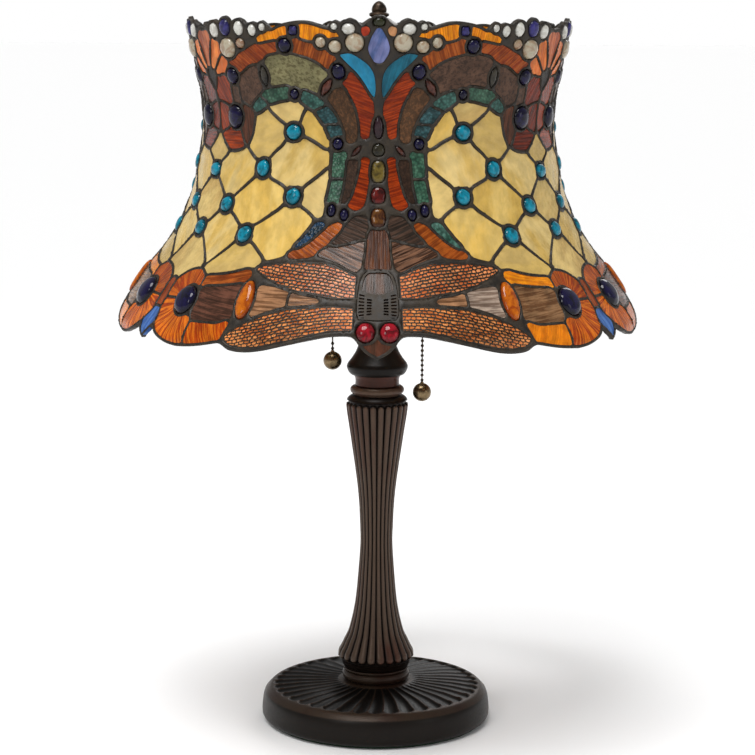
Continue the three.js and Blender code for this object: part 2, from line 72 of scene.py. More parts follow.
# ---------------------------------------------------------------- camera, light and floor
CAMERA_PLACE = (0.0002, -1.93, 0.607)
CAMERA_PITCH, CAMERA_ROLL = 81.278, 0.3      # degrees from straight down, and about the view
CAMERA_LENS, CAMERA_SENSOR = 104.67, 36      # millimetres
LAMP_TARGET = (0, 0, 0.38)
LAMPS = [                # name, place, size across, power
    ("key", (-1.2, -1.9, 1.7), 0.7, 8),
    ("fill", (1.9, -1.3, 1.0), 0.9, 3.5),
    ("back", (0.6, 1.8, 1.5), 1.2, 9),
]
DAYLIGHT, DAYLIGHT_SPREAD, DAYLIGHT_TILT = 2.3, 28, (17, -10, 0)
SKY_LOW, SKY_HIGH = 0.035, 0.12     # where the sky starts and stops fading, as the sine of its height
SKY_BRIGHT, SKY_DIM = 1.0, 0.36
FLOOR_HALF, FLOOR_GAP = 400.0, 0.0002


def linked(name, data):
    made = bpy.data.objects.new(name, data)
    bpy.context.scene.collection.objects.link(made)
    return made


def radians_of(angles):
    return [math.radians(angle) for angle in angles]


def build_camera():
    data = bpy.data.cameras.new("camera")
    data.lens = CAMERA_LENS
    data.sensor_width = CAMERA_SENSOR
    camera = linked("camera", data)
    camera.matrix_world = (
        Matrix.Translation(CAMERA_PLACE)
        @ Matrix.Rotation(math.radians(CAMERA_PITCH), 4, "X")
        @ Matrix.Rotation(math.radians(CAMERA_ROLL), 4, "Z")
    )
    bpy.context.scene.camera = camera


def build_lights():
    for name, place, size, power in LAMPS:
        data = bpy.data.lights.new(name, "AREA")
        data.shape = "DISK"
        data.size = size
        data.energy = power
        light = linked(name, data)
        light.location = place
        light.rotation_euler = (Vector(LAMP_TARGET) - Vector(place)).to_track_quat("-Z", "Y").to_euler()
    data = bpy.data.lights.new("daylight", "SUN")
    data.energy = DAYLIGHT
    data.angle = math.radians(DAYLIGHT_SPREAD)
    linked("daylight", data).rotation_euler = radians_of(DAYLIGHT_TILT)


def build_sky():
    """A white studio that dims overhead."""
    world = bpy.data.worlds.new("studio")
    world.use_nodes = True
    sky = world.node_tree
    direction = node(sky, "ShaderNodeTexCoord").outputs["Generated"]
    height = node(sky, "ShaderNodeSeparateXYZ", Vector=direction).outputs["Z"]
    background = sky.nodes["Background"]
    strength = ramp(sky, height, SKY_LOW, SKY_HIGH, SKY_BRIGHT, SKY_DIM)
    sky.links.new(strength, background.inputs["Strength"])
    background.inputs["Color"].default_value = (1, 1, 1, 1)
    bpy.context.scene.world = world
    bpy.context.scene.view_settings.view_transform = "Standard"


def build_floor():
    mesh = bpy.data.meshes.new("floor")
    corners = [(-1, -1), (1, -1), (1, 1), (-1, 1)]
    mesh.from_pydata([(x * FLOOR_HALF, y * FLOOR_HALF, 0) for x, y in corners], [], [(0, 1, 2, 3)])
    floor = linked("floor", mesh)
    floor.location.z = cad_box[0][2] - FLOOR_GAP
    material, shader, _ = new_material("pale_floor", 0.9, specular=0.1)
    shader.inputs["Base Color"].default_value = (0.96, 0.96, 0.96, 1)
    mesh.materials.append(material)


# ---------------------------------------------------------------- material helpers
def rgb(red, green, blue):
    """A screen colour as the linear colour that shaders take."""
    linear = []
    for value in (red, green, blue):
        share = value / 255
        linear.append(share / 12.92 if share <= 0.04045 else ((share + 0.055) / 1.055) ** 2.4)
    return (*linear, 1.0)


def new_material(name, roughness, metallic=0.0, coat=0.0, coat_roughness=0.03, specular=0.5):
    material = bpy.data.materials.new(name)
    material.use_nodes = True
    tree = material.node_tree
    shader = tree.nodes["Principled BSDF"]
    settings = {
        "Roughness": roughness, "Metallic": metallic, "Specular IOR Level": specular,
        "Coat Weight": coat, "Coat Roughness": coat_roughness,
    }
    for key, value in settings.items():
        shader.inputs[key].default_value = value
    return material, shader, tree


def node(tree, kind, settings=(), **inputs):
    made = tree.nodes.new(kind)
    for name, value in dict(settings).items():
        setattr(made, name, value)
    for name, value in inputs.items():
        socket = made.inputs[name.replace("_", " ")]
        if isinstance(value, bpy.types.NodeSocket):
            tree.links.new(value, socket)
        else:
            socket.default_value = value
    return made


def attribute(tree, name):
    return node(tree, "ShaderNodeAttribute", {"attribute_name": name})


def scaled(tree, vector, scale):
    made = node(tree, "ShaderNodeVectorMath", {"operation": "MULTIPLY"})
    tree.links.new(vector, made.inputs[0])
    made.inputs[1].default_value = scale
    return made.outputs["Vector"]


def noise(tree, vector, scale=1.0, detail=3.0, roughness=0.5, distortion=0.0):
    made = node(
        tree, "ShaderNodeTexNoise",
        Vector=vector, Scale=scale, Detail=detail, Roughness=roughness, Distortion=distortion,
    )
    return made.outputs["Fac"]


def ramp(tree, factor, low, high, to_min=0.0, to_max=1.0):
    made = node(tree, "ShaderNodeMapRange", {"interpolation_type": "SMOOTHSTEP"}, Value=factor)
    for name, value in zip(("From Min", "From Max", "To Min", "To Max"), (low, high, to_min, to_max)):
        made.inputs[name].default_value = value
    return made.outputs["Result"]


def mix(tree, factor, first, second):
    made = node(tree, "ShaderNodeMix", {"data_type": "RGBA"})
    for socket, value in zip((made.inputs[0], made.inputs[6], made.inputs[7]), (factor, first, second)):
        if isinstance(value, bpy.types.NodeSocket):
            tree.links.new(value, socket)
        else:
            socket.default_value = value
    return made.outputs[2]


def two_tone(tree, factor):
    """The tint of the piece of glass, turning to its accent as factor rises."""
    tint, accent = (attribute(tree, name).outputs["Color"] for name in ("tint", "accent"))
    return mix(tree, factor, tint, accent)


def bump(tree, shader, height, strength, distance):
    made = node(tree, "ShaderNodeBump", Height=height, Strength=strength, Distance=distance)
    tree.links.new(made.outputs["Normal"], shader.inputs["Normal"])


# ---------------------------------------------------------------- glass
def art_glass(name, streak, contrast, grain, relief, roughness=0.22, coat=0.03, mottle=0.3, shine=0.14):
    """Sheet glass whose streaks follow each piece's own flow attribute.

    streak and grain are (along, across) frequencies per millimetre; relief is the height of
    the surface texture in millimetres; contrast is where the second colour starts and ends.
    """
    material, shader, tree = new_material(name, roughness, 0.0, coat, 0.08, shine)
    flow = attribute(tree, "flow").outputs["Vector"]
    wide = noise(tree, scaled(tree, flow, (*streak, 1.0)), detail=4, roughness=0.55, distortion=0.35)
    colour = two_tone(tree, ramp(tree, wide, *contrast))
    cloud = noise(tree, scaled(tree, flow, (0.09, 0.13, 1.0)), detail=3)
    fine = noise(tree, scaled(tree, flow, (*grain, 1.0)), detail=2)
    shade = ramp(tree, cloud, 0.3, 0.7, 1.0 - mottle, 1.0 + 0.5 * mottle)
    dimmed = node(tree, "ShaderNodeVectorMath", {"operation": "SCALE"})
    tree.links.new(colour, dimmed.inputs[0])
    tree.links.new(shade, dimmed.inputs["Scale"])
    tree.links.new(dimmed.outputs["Vector"], shader.inputs["Base Color"])
    rough = ramp(tree, fine, 0.2, 0.8, roughness * 0.7, roughness * 1.5)
    tree.links.new(rough, shader.inputs["Roughness"])
    bump(tree, shader, fine, 0.9, relief * MM)
    return material


def hammered_glass(name):
    """Rolled glass with a dense hammered dimple, for the blue-green border strips."""
    material, shader, tree = new_material(name, 0.2, 0.0, 0.05, specular=0.2)
    flow = attribute(tree, "flow").outputs["Vector"]
    dimple = node(tree, "ShaderNodeTexVoronoi", Vector=scaled(tree, flow, (0.42, 0.42, 1.0)), Scale=1.0)
    patch = noise(tree, scaled(tree, flow, (0.12, 0.12, 1.0)), detail=4, roughness=0.6)
    colour = two_tone(tree, ramp(tree, patch, 0.35, 0.65))
    dark = mix(tree, ramp(tree, dimple.outputs["Distance"], 0.15, 0.75, 0.0, 0.55), colour, (0, 0, 0, 1))
    tree.links.new(dark, shader.inputs["Base Color"])
    bump(tree, shader, dimple.outputs["Distance"], 0.8, 0.5 * MM)
    return material


def jewel_glass(name):
    """Pressed glass jewels: their clear depth painted as light, a paler heart, and as shade, a dark edge.
    """
    material, shader, tree = new_material(name, 0.06, 0.0, 0.12, specular=0.2)
    flow = attribute(tree, "flow").outputs["Vector"]
    swirl = noise(tree, scaled(tree, flow, (0.16, 0.16, 1.0)), detail=3, distortion=0.8)
    # the dome's rise paints light into the heart and shade at the edge
    heart = attribute(tree, "depth").outputs["Fac"]
    blended = node(tree, "ShaderNodeMath", {"operation": "MULTIPLY"})
    tree.links.new(ramp(tree, swirl, 0.25, 0.65), blended.inputs[0])
    tree.links.new(ramp(tree, heart, 0.05, 0.8), blended.inputs[1])
    colour = two_tone(tree, blended.outputs["Value"])
    tree.links.new(colour, shader.inputs["Base Color"])
    bump(tree, shader, swirl, 0.25, 0.3 * MM)
    return material


def pearl_glass(name):
    """Iridized white glass nuggets with faint rose and green clouds, their edges darkened as painted shade.
    """
    material, shader, tree = new_material(name, 0.2, 0.0, 0.35, 0.1)
    flow = attribute(tree, "flow").outputs["Vector"]
    cloud = noise(tree, scaled(tree, flow, (0.14, 0.2, 1.0)), detail=4, distortion=0.9)
    warm = two_tone(tree, ramp(tree, cloud, 0.42, 0.62))
    green = mix(tree, ramp(tree, cloud, 0.25, 0.4, 0.5, 0.0), warm, rgb(122, 124, 94))
    # painted shade: brown towards the rim of each dome
    heart = attribute(tree, "depth").outputs["Fac"]
    colour = mix(tree, ramp(tree, heart, 0.0, 0.45, 0.45, 0.0), green, rgb(66, 56, 42))
    tree.links.new(colour, shader.inputs["Base Color"])
    bump(tree, shader, cloud, 0.4, 0.4 * MM)
    return material


# ---------------------------------------------------------------- metals and other materials
def patina(name, low, high, roughness, metallic, scale=90.0, relief=0.15):
    """Old metal: mottled between two colours, with a faint hand-finished surface."""
    material, shader, tree = new_material(name, roughness, metallic)
    place = node(tree, "ShaderNodeTexCoord").outputs["Object"]
    broad = noise(tree, place, scale, 5, 0.6)
    fine = noise(tree, place, scale * 9, 3, 0.6)
    colour = mix(tree, ramp(tree, broad, 0.3, 0.7), low, high)
    tree.links.new(colour, shader.inputs["Base Color"])
    tree.links.new(ramp(tree, broad, 0.25, 0.75, roughness * 0.8, roughness * 1.25),
                   shader.inputs["Roughness"])
    bump(tree, shader, fine, 0.5, relief * MM)
    return material


def relief_bronze(name, valley, crest, blush, roughness=0.38):
    """Cast bronze finish: dark in the valleys, patina and painted shade, and paler on the crests, rubbed
    wear and a painted highlight, with red patches.
    """
    material, shader, tree = new_material(name, roughness, 0.3, 0.05, 0.25, 0.2)
    place = node(tree, "ShaderNodeTexCoord").outputs["Object"]
    broad = noise(tree, scaled(tree, place, (1, 1, 0.35)), 22, 4, 0.6)
    fine = noise(tree, place, 700, 4, 0.65)
    crest_wear_and_highlight = mix(tree, ramp(tree, broad, 0.46, 0.66), crest, blush)
    # relief lays painted shade into the valleys and a painted highlight on the crests, over the real patina
    # and wear
    high = attribute(tree, "relief").outputs["Fac"]
    colour = mix(tree, ramp(tree, high, 0.5, 1.0), valley, crest_wear_and_highlight)
    speckled = mix(tree, ramp(tree, fine, 0.5, 0.8, 0.0, 0.35), colour, valley)
    tree.links.new(speckled, shader.inputs["Base Color"])
    tree.links.new(ramp(tree, fine, 0.2, 0.8, roughness * 0.8, roughness * 1.3),
                   shader.inputs["Roughness"])
    bump(tree, shader, fine, 0.35, 0.12 * MM)
    return material


SHEETS = {
    "cream": dict(streak=(0.018, 0.05), contrast=(0.4, 0.62), grain=(0.2, 0.3), relief=0.12,
                  mottle=0.16, roughness=0.26),
    "streaky": dict(streak=(0.02, 0.16), contrast=(0.42, 0.6), grain=(0.08, 0.5), relief=0.25),
    "ripple": dict(streak=(0.035, 0.62), contrast=(0.42, 0.58), grain=(0.05, 0.5), relief=0.4),
    "granite": dict(streak=(0.35, 0.5), contrast=(0.45, 0.62), grain=(0.8, 0.9), relief=0.35,
                    roughness=0.32),
    "wing": dict(streak=(0.1, 0.2), contrast=(0.4, 0.6), grain=(0.3, 0.4), relief=0.25),
}
CAST = {                 # name, valley, crest, blush, roughness; valley is patina with painted shade, crest is wear with a painted highlight
    "bronze": ("cast_bronze", rgb(20, 13, 9), rgb(82, 66, 54), rgb(74, 44, 33)),
    "foot": ("foot_bronze", rgb(9, 7, 5), rgb(52, 40, 30), rgb(46, 29, 21), 0.4),
    "turned": ("turned_bronze", rgb(22, 11, 8), rgb(56, 31, 22), rgb(66, 34, 25), 0.32),
    "black": ("black_bronze", rgb(6, 5, 3), rgb(17, 13, 10), rgb(22, 15, 11), 0.42),
}
PATINAS = {              # name, low, high, roughness, metallic, scale, relief
    "lead": ("lead_patina", rgb(19, 14, 8), rgb(48, 38, 24), 0.5, 0.2, 120, 0.3),
    "filigree": ("filigree_patina", rgb(22, 17, 11), rgb(52, 42, 29), 0.5, 0.3, 150),
    "brass": ("antique_brass", rgb(84, 62, 30), rgb(168, 132, 72), 0.26, 0.95, 160),
    "dark_bronze": ("dark_bronze", rgb(34, 26, 18), rgb(74, 56, 40), 0.36, 0.6, 200),
    "ball": ("aged_brass_ball", rgb(66, 54, 38), rgb(138, 118, 88), 0.26, 0.9, 120),
    "chain": ("aged_brass_chain", rgb(34, 28, 20), rgb(70, 56, 38), 0.34, 0.7, 300),
    "steel": ("zinc_steel", rgb(110, 112, 115), rgb(170, 171, 174), 0.36, 0.95, 200),
    "iron": ("cast_iron", rgb(40, 40, 42), rgb(74, 74, 76), 0.75, 0.6, 180, 0.5),
    "felt": ("green_felt", rgb(28, 46, 34), rgb(44, 66, 50), 0.98, 0.0, 700, 0.8),
    "phenolic": ("black_phenolic", rgb(20, 19, 18), rgb(38, 35, 33), 0.45, 0.0, 300),
    "wire": ("brown_wire", rgb(58, 42, 28), rgb(84, 62, 42), 0.5, 0.0, 300),
    "card": ("grey_card", rgb(58, 50, 42), rgb(92, 82, 70), 0.9, 0.0, 400, 0.4),
    "bulb": ("opal_bulb", rgb(236, 228, 208), rgb(250, 245, 232), 0.22, 0.0, 60, 0.02),
}
MATERIALS = {}


def build_materials():
    for key, settings in SHEETS.items():
        MATERIALS[key] = art_glass(key + "_glass_sheet", **settings)
    MATERIALS["hammered"] = hammered_glass("hammered_glass_sheet")
    MATERIALS["jewel"] = jewel_glass("jewel_glass")
    MATERIALS["pearl"] = pearl_glass("pearl_glass")
    for key, settings in CAST.items():
        MATERIALS[key] = relief_bronze(*settings)
    for key, settings in PATINAS.items():
        MATERIALS[key] = patina(*settings)


# ---------------------------------------------------------------- mesh helpers
def make_object(name, points, faces, materials, face_materials=None, attributes=(), sharp=48):
    """A mesh object from points in metres; each attribute is (name, kind, a value for every point)."""
    mesh = bpy.data.meshes.new(name)
    mesh.from_pydata([tuple(p) for p in points], [], faces)
    for material in materials:
        mesh.materials.append(material)
    if face_materials is not None:
        mesh.polygons.foreach_set("material_index", np.asarray(face_materials, np.int32))
    for key, kind, values in attributes:
        layer = mesh.attributes.new(key, kind, "POINT")
        field = {"FLOAT": "value", "FLOAT_VECTOR": "vector", "FLOAT_COLOR": "color"}[kind]
        layer.data.foreach_set(field, np.asarray(values, np.float32).ravel())
    mesh.polygons.foreach_set("use_smooth", np.ones(len(mesh.polygons), bool))
    mesh.validate()
    mesh.set_sharp_from_angle(angle=math.radians(sharp))
    return linked(name, mesh)


def place_on(made, body, slot, *replaced):
    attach(made, body)
    if replaced:
        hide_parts(*replaced)
    return made


def smooth_profile(stations):
    """A radius for any height: Hermite pieces through (height, radius) stations."""
    heights, radii = (np.array(column, float) for column in zip(*stations))
    slopes = np.gradient(radii, heights)
    slopes[1:-1] = (radii[2:] - radii[:-2]) / (heights[2:] - heights[:-2])

    def radius(height):
        height = np.clip(np.asarray(height, float), heights[0], heights[-1])
        i = np.clip(np.searchsorted(heights, height, side="right") - 1, 0, len(heights) - 2)
        span = heights[i + 1] - heights[i]
        t = (height - heights[i]) / span
        return (
            (2 * t**3 - 3 * t**2 + 1) * radii[i] + (t**3 - 2 * t**2 + t) * span * slopes[i]
            + (3 * t**2 - 2 * t**3) * radii[i + 1] + (t**3 - t**2) * span * slopes[i + 1]
        )
    return radius


def ease(low, high, value):
    t = np.clip((np.asarray(value, float) - low) / (high - low), 0, 1)
    return t * t * (3 - 2 * t)


# ---------------------------------------------------------------- surface of the shade
SEAT = -2.2              # heights on the shade are counted this far above their place


bell_radius = smooth_profile([
    (340, 225.5), (350, 226), (362, 227), (376, 226), (390, 218.5), (412, 203.5), (435, 185),
    (465, 168), (500, 157.5), (540, 152.5), (575, 154.5), (612, 160.5), (630, 163.5),
])


DRAWN_IN, FLARED = 7, 8  # how far the wall moves in above the lower edge, and out at the crown


def shade_radius(angle, height):
    """Radius of the wall: the bell, reshaped halfway between two dragonflies."""
    between = ((1 - np.cos(np.radians(angle * MOTIFS))) / 2) ** 3
    drawn_in = DRAWN_IN * ease(366, 386, height) * (1 - ease(415, 470, height))
    flared = FLARED * ease(540, 605, height)
    return bell_radius(height) + between * (flared - drawn_in)


def on_wall(angle, height):
    radius = shade_radius(angle, height)
    turn = np.radians(angle)
    return np.stack([radius * np.sin(turn), -radius * np.cos(turn), height + SEAT], axis=-1)


def on_shade(angle, height, offset):
    """Points at angle and height, offset outward from the glass face, in metres."""
    angle, height = np.asarray(angle, float), np.asarray(height, float)
    step = 0.05
    across = on_wall(angle + step, height) - on_wall(angle - step, height)
    up = on_wall(angle, height + step) - on_wall(angle, height - step)
    normal = np.cross(across, up)
    normal /= np.linalg.norm(normal, axis=-1, keepdims=True)
    return (on_wall(angle, height) + normal * np.asarray(offset)[..., None]) * MM


def degree_length(height):
    """Millimetres per degree round the shade at a height."""
    return math.pi * float(bell_radius(height)) / 180


# ---------------------------------------------------------------- outlines in the pattern
def flat(points, about):
    """Pattern points as millimetres in the plane that touches the shade at about's height."""
    scale = degree_length(about[1])
    return [Vector(((angle - about[0]) * scale, height - about[1])) for angle, height in points]


def unflat(points, about):
    scale = degree_length(about[1])
    return [(about[0] + p[0] / scale, about[1] + p[1]) for p in points]


def centre_of(points):
    return (sum(p[0] for p in points) / len(points), sum(p[1] for p in points) / len(points))


def softened(points, corner, gentle=50, steps=5):
    """Rounds a closed outline: gentle bends become full curves, real corners keep a small radius."""
    count = len(points)
    made = []
    for i, p in enumerate(points):
        back, ahead = points[i - 1] - p, points[(i + 1) % count] - p
        turn = math.degrees(math.pi - back.angle(ahead))
        reach = 0.45 * min(back.length, ahead.length)
        if turn > gentle:
            reach = min(reach, corner)
        start, end = p + back.normalized() * reach, p + ahead.normalized() * reach
        for k in range(steps):
            t = k / (steps - 1)
            made.append((1 - t) ** 2 * start + 2 * t * (1 - t) * p + t * t * end)
    return made


def divided(points, longest):
    """A closed outline with its long edges divided."""
    made = []
    for i, p in enumerate(points):
        ahead = points[(i + 1) % len(points)]
        gap = (ahead - p).length
        if gap < 0.05:
            continue
        parts = max(1, math.ceil(gap / longest))
        made += [p.lerp(ahead, k / parts) for k in range(parts)]
    return made


def oval(at, half_width, half_height, lean=0.0, steps=28):
    """An ellipse on the shade, its half axes in millimetres, leaning clockwise by lean degrees."""
    c, s = math.cos(math.radians(lean)), math.sin(math.radians(lean))
    points = []
    for k in range(steps):
        x = half_width * math.cos(2 * math.pi * k / steps)
        z = half_height * math.sin(2 * math.pi * k / steps)
        points.append(Vector((x * c + z * s, z * c - x * s)))
    return unflat(points, at)


def marquise(at, half_width, half_length, lean=0.0, steps=9):
    """A pointed oval: two equal arcs that meet at its ends."""
    c, s = math.cos(math.radians(lean)), math.sin(math.radians(lean))
    points = []
    for side in (1, -1):
        for k in range(steps):
            t = -1 + 2 * k / steps
            x, z = half_width * (1 - t * t) * side, half_length * t * side
            points.append(Vector((x * c + z * s, z * c - x * s)))
    return unflat(points, at)


def both_sides(points, axis=0.0):
    """Closes a half outline with its mirror image about an axis angle."""
    mirrored = [(2 * axis - angle, height) for angle,
                height in reversed(points) if abs(angle - axis) > 1e-6]
    return points + mirrored


JEWEL_EDGE, SHEET_EDGE = 2.2, 3.0    # longest edge of an outline
JEWEL_GRID, SHEET_GRID = 1.7, 4.0    # spacing of the points inside it


class Piece:
    """One piece of glass in the right half of a motif.

    flow is the direction of its streaks, or the point that they spread from; rise is the height
    of its dome and drop how far its face lies below its neighbours'; left is the pair of colours
    of its mirror image; a ready outline isn't rounded any further.
    """

    def __init__(self, zone, kind, tint, accent, outline, flow=90.0, rise=0.0, corner=2.0, left=None,
                 ready=False, drop=0.0):
        self.zone, self.kind, self.tint, self.accent = zone, kind, tint, accent
        self.left = left or (tint, accent)
        self.flow, self.rise, self.drop = flow, rise, drop
        self.middle = centre_of(outline)
        plane = flat(outline, self.middle)
        if not ready:
            plane = softened(plane, corner)
        self.set_plane(divided(plane, JEWEL_EDGE if rise else SHEET_EDGE))
        self.hand = 1 if signed_area(self.plane) > 0 else -1
        angles = [angle for angle, _ in self.outline]
        self.whole = min(angles) < -0.01 or max(angles) > HALF + 0.01

    def set_plane(self, plane):
        self.plane = plane
        self.outline = unflat(plane, self.middle)


# ---------------------------------------------------------------- colours of the glass
CREAMS = [
    (rgb(208, 180, 114), rgb(194, 162, 98)), (rgb(207, 170, 86), rgb(214, 182, 106)),
    (rgb(213, 186, 122), rgb(201, 167, 90)), (rgb(203, 171, 96), rgb(192, 163, 98)),
]
TURQUOISE = (rgb(6, 60, 70), rgb(14, 136, 162))
NAVY = (rgb(6, 5, 14), rgb(22, 18, 56))
VIOLET = (rgb(30, 28, 60), rgb(54, 50, 112))
PEARL = (rgb(170, 160, 138), rgb(150, 127, 101))
WHITE_PEARL = (rgb(208, 207, 200), rgb(182, 179, 170))
ROSE_PEARL = (rgb(152, 128, 102), rgb(126, 84, 58))
AMBER = (rgb(132, 50, 4), rgb(192, 102, 14))
RED_EYE = (rgb(44, 8, 9), rgb(150, 15, 32))
BRIGHT_ORANGE = (rgb(236, 144, 14), rgb(204, 112, 8))
PETAL_ORANGE = (rgb(210, 109, 18), rgb(148, 52, 3))
SMOOTH_ORANGE = (rgb(224, 128, 16), rgb(204, 108, 10))
MOTTLED_ORANGE = (rgb(184, 89, 12), rgb(138, 47, 3))
RUST = (rgb(160, 81, 26), rgb(120, 52, 12))
RUST_RED = (rgb(121, 46, 13), rgb(150, 72, 25))
DARK_RUST = (rgb(66, 40, 26), rgb(92, 52, 34))
RED_ORANGE = (rgb(148, 52, 10), rgb(106, 30, 5))
MAROON = (rgb(116, 36, 8), rgb(74, 22, 6))
RUSSET = (rgb(150, 56, 14), rgb(108, 36, 8))
BROWN_PURPLE = (rgb(88, 64, 50), rgb(60, 44, 35))
OLIVE_GREY = (rgb(122, 117, 82), rgb(94, 87, 58))
OLIVE_BROWN = (rgb(70, 49, 32), rgb(94, 63, 40))
GREEN = (rgb(42, 80, 62), rgb(74, 112, 90))
TEAL = (rgb(36, 74, 66), rgb(66, 110, 100))
BLUE_TEAL = (rgb(28, 62, 64), rgb(60, 98, 102))
SKY = (rgb(34, 132, 172), rgb(38, 126, 160))
DEEP_TEAL = (rgb(26, 97, 118), rgb(22, 80, 98))
KITE = (rgb(70, 92, 142), rgb(114, 120, 166))
PEACH = (rgb(232, 134, 66), rgb(206, 106, 50))
CORAL = (rgb(188, 106, 66), rgb(150, 72, 40))
TAN = (rgb(170, 114, 74), rgb(184, 132, 90))
SCARLET = (rgb(178, 70, 34), rgb(158, 50, 26))
ROSE_BROWN = (rgb(50, 30, 18), rgb(122, 86, 64))
DUSK_BROWN = (rgb(42, 33, 26), rgb(76, 56, 45))
PINK_BROWN = (rgb(92, 52, 27), rgb(64, 34, 20))
WAVY_BROWN = (rgb(136, 101, 69), rgb(92, 60, 35))
WAVY_DARK = (rgb(98, 61, 46), rgb(58, 36, 25))
WHITE_RIPPLE = (rgb(166, 147, 131), rgb(116, 96, 82))
TAN_RIPPLE = (rgb(162, 118, 84), rgb(100, 68, 44))
WING = (rgb(202, 105, 55), rgb(230, 147, 92))
LOW_WING = (rgb(206, 112, 54), rgb(232, 150, 86))
BLUE = (rgb(46, 86, 152), rgb(76, 116, 178))
HEAD = (rgb(92, 52, 35), rgb(61, 39, 26))
DARK_WINE = (rgb(36, 17, 14), rgb(86, 48, 38))
DARK_BROWN = (rgb(47, 33, 24), rgb(66, 46, 34))
SLATE = (rgb(36, 30, 27), rgb(54, 48, 42))


def lattice_pieces():
    """Rounded cream glass of the wing-shaped window, and the turquoise cabochons on its joints."""
    outlines = [
        [(23.5, 555), (27, 559.5), (31, 559.5), (35.5, 554), (30.5, 544), (25, 544)],
        [(21.5, 553), (23.5, 549), (24, 541), (23, 536), (20, 531), (15.7, 524), (15.3, 530),
         (17.2, 540), (19.2, 547.5)],
        [(15, 517), (20, 526), (23.5, 529), (28.5, 527), (34, 516), (34.5, 505), (33, 498),
         (27, 491), (24, 491), (18, 502), (14.7, 511)],
        [(31, 541), (36, 552.5), (38, 551), (41, 545), (42, 530), (43.3, 522), (40, 515),
         (35.5, 514.5), (30.7, 526), (30.5, 535)],
        [(14.8, 507), (22, 490), (22, 478), (17.7, 468), (15.9, 475), (14.9, 490)],
        [(29, 491), (34, 497), (39.5, 495), (46, 482), (46.3, 474), (40.5, 462), (36.5, 460),
         (29.3, 476)],
        [(44.3, 520), (50, 517), (57.3, 507), (57.3, 498), (51.5, 484), (47, 484.5), (41, 500),
         (41, 510)],
        both_sides([(60, 530), (54.7, 518), (58, 509), (60, 509)], HALF),
        both_sides([(60, 495.3), (57.5, 494.5), (53.5, 483), (53, 475), (57, 462.3), (60, 460.8)],
                   HALF),
        [(18.7, 468), (22, 473.8), (27, 474.2), (30, 470), (36.5, 458), (36.5, 452), (34, 446),
         (29.5, 436.3), (24, 441), (20, 455)],
        [(47, 465), (51.5, 465), (56, 457), (56, 449), (51, 432), (49.5, 427.5), (43.2, 446),
         (42.7, 455)],
        [(31.2, 434), (36, 445), (40.5, 443), (48.7, 425.5), (47, 422.3), (42, 421.3), (36, 424.3),
         (31.6, 431)],
        both_sides([(60, 446.8), (57, 445), (50.8, 426), (54.2, 422), (60, 413.8)], HALF),
    ]
    made = [
        Piece("lattice", "cream", *CREAMS[i % len(CREAMS)], outline, flow=20 + 47 * i, corner=3.5)
        for i, outline in enumerate(outlines)
    ]
    cabochons = [
        ((26.7, 535.5), 7.0, 6.4), ((37, 505.5), 6.6, 7.0), ((25.3, 484), 6.6, 6.9), ((60, 502), 8.2, 6.0),
        ((49.7, 474.6), 7.4, 6.4), ((38.9, 452), 7.4, 6.9), ((60, 453.6), 7.8, 6.2),
    ]
    return made + [
        Piece("lattice", "jewel", *TURQUOISE, oval(at, a, b), rise=3.4, ready=True)
        for at, a, b in cabochons
    ]


THORAX = [(0, 427.4), (2.5, 427), (3.5, 424), (4.1, 418), (4.4, 408), (4.4, 396.6), (3.9, 392), (0, 391.4)]


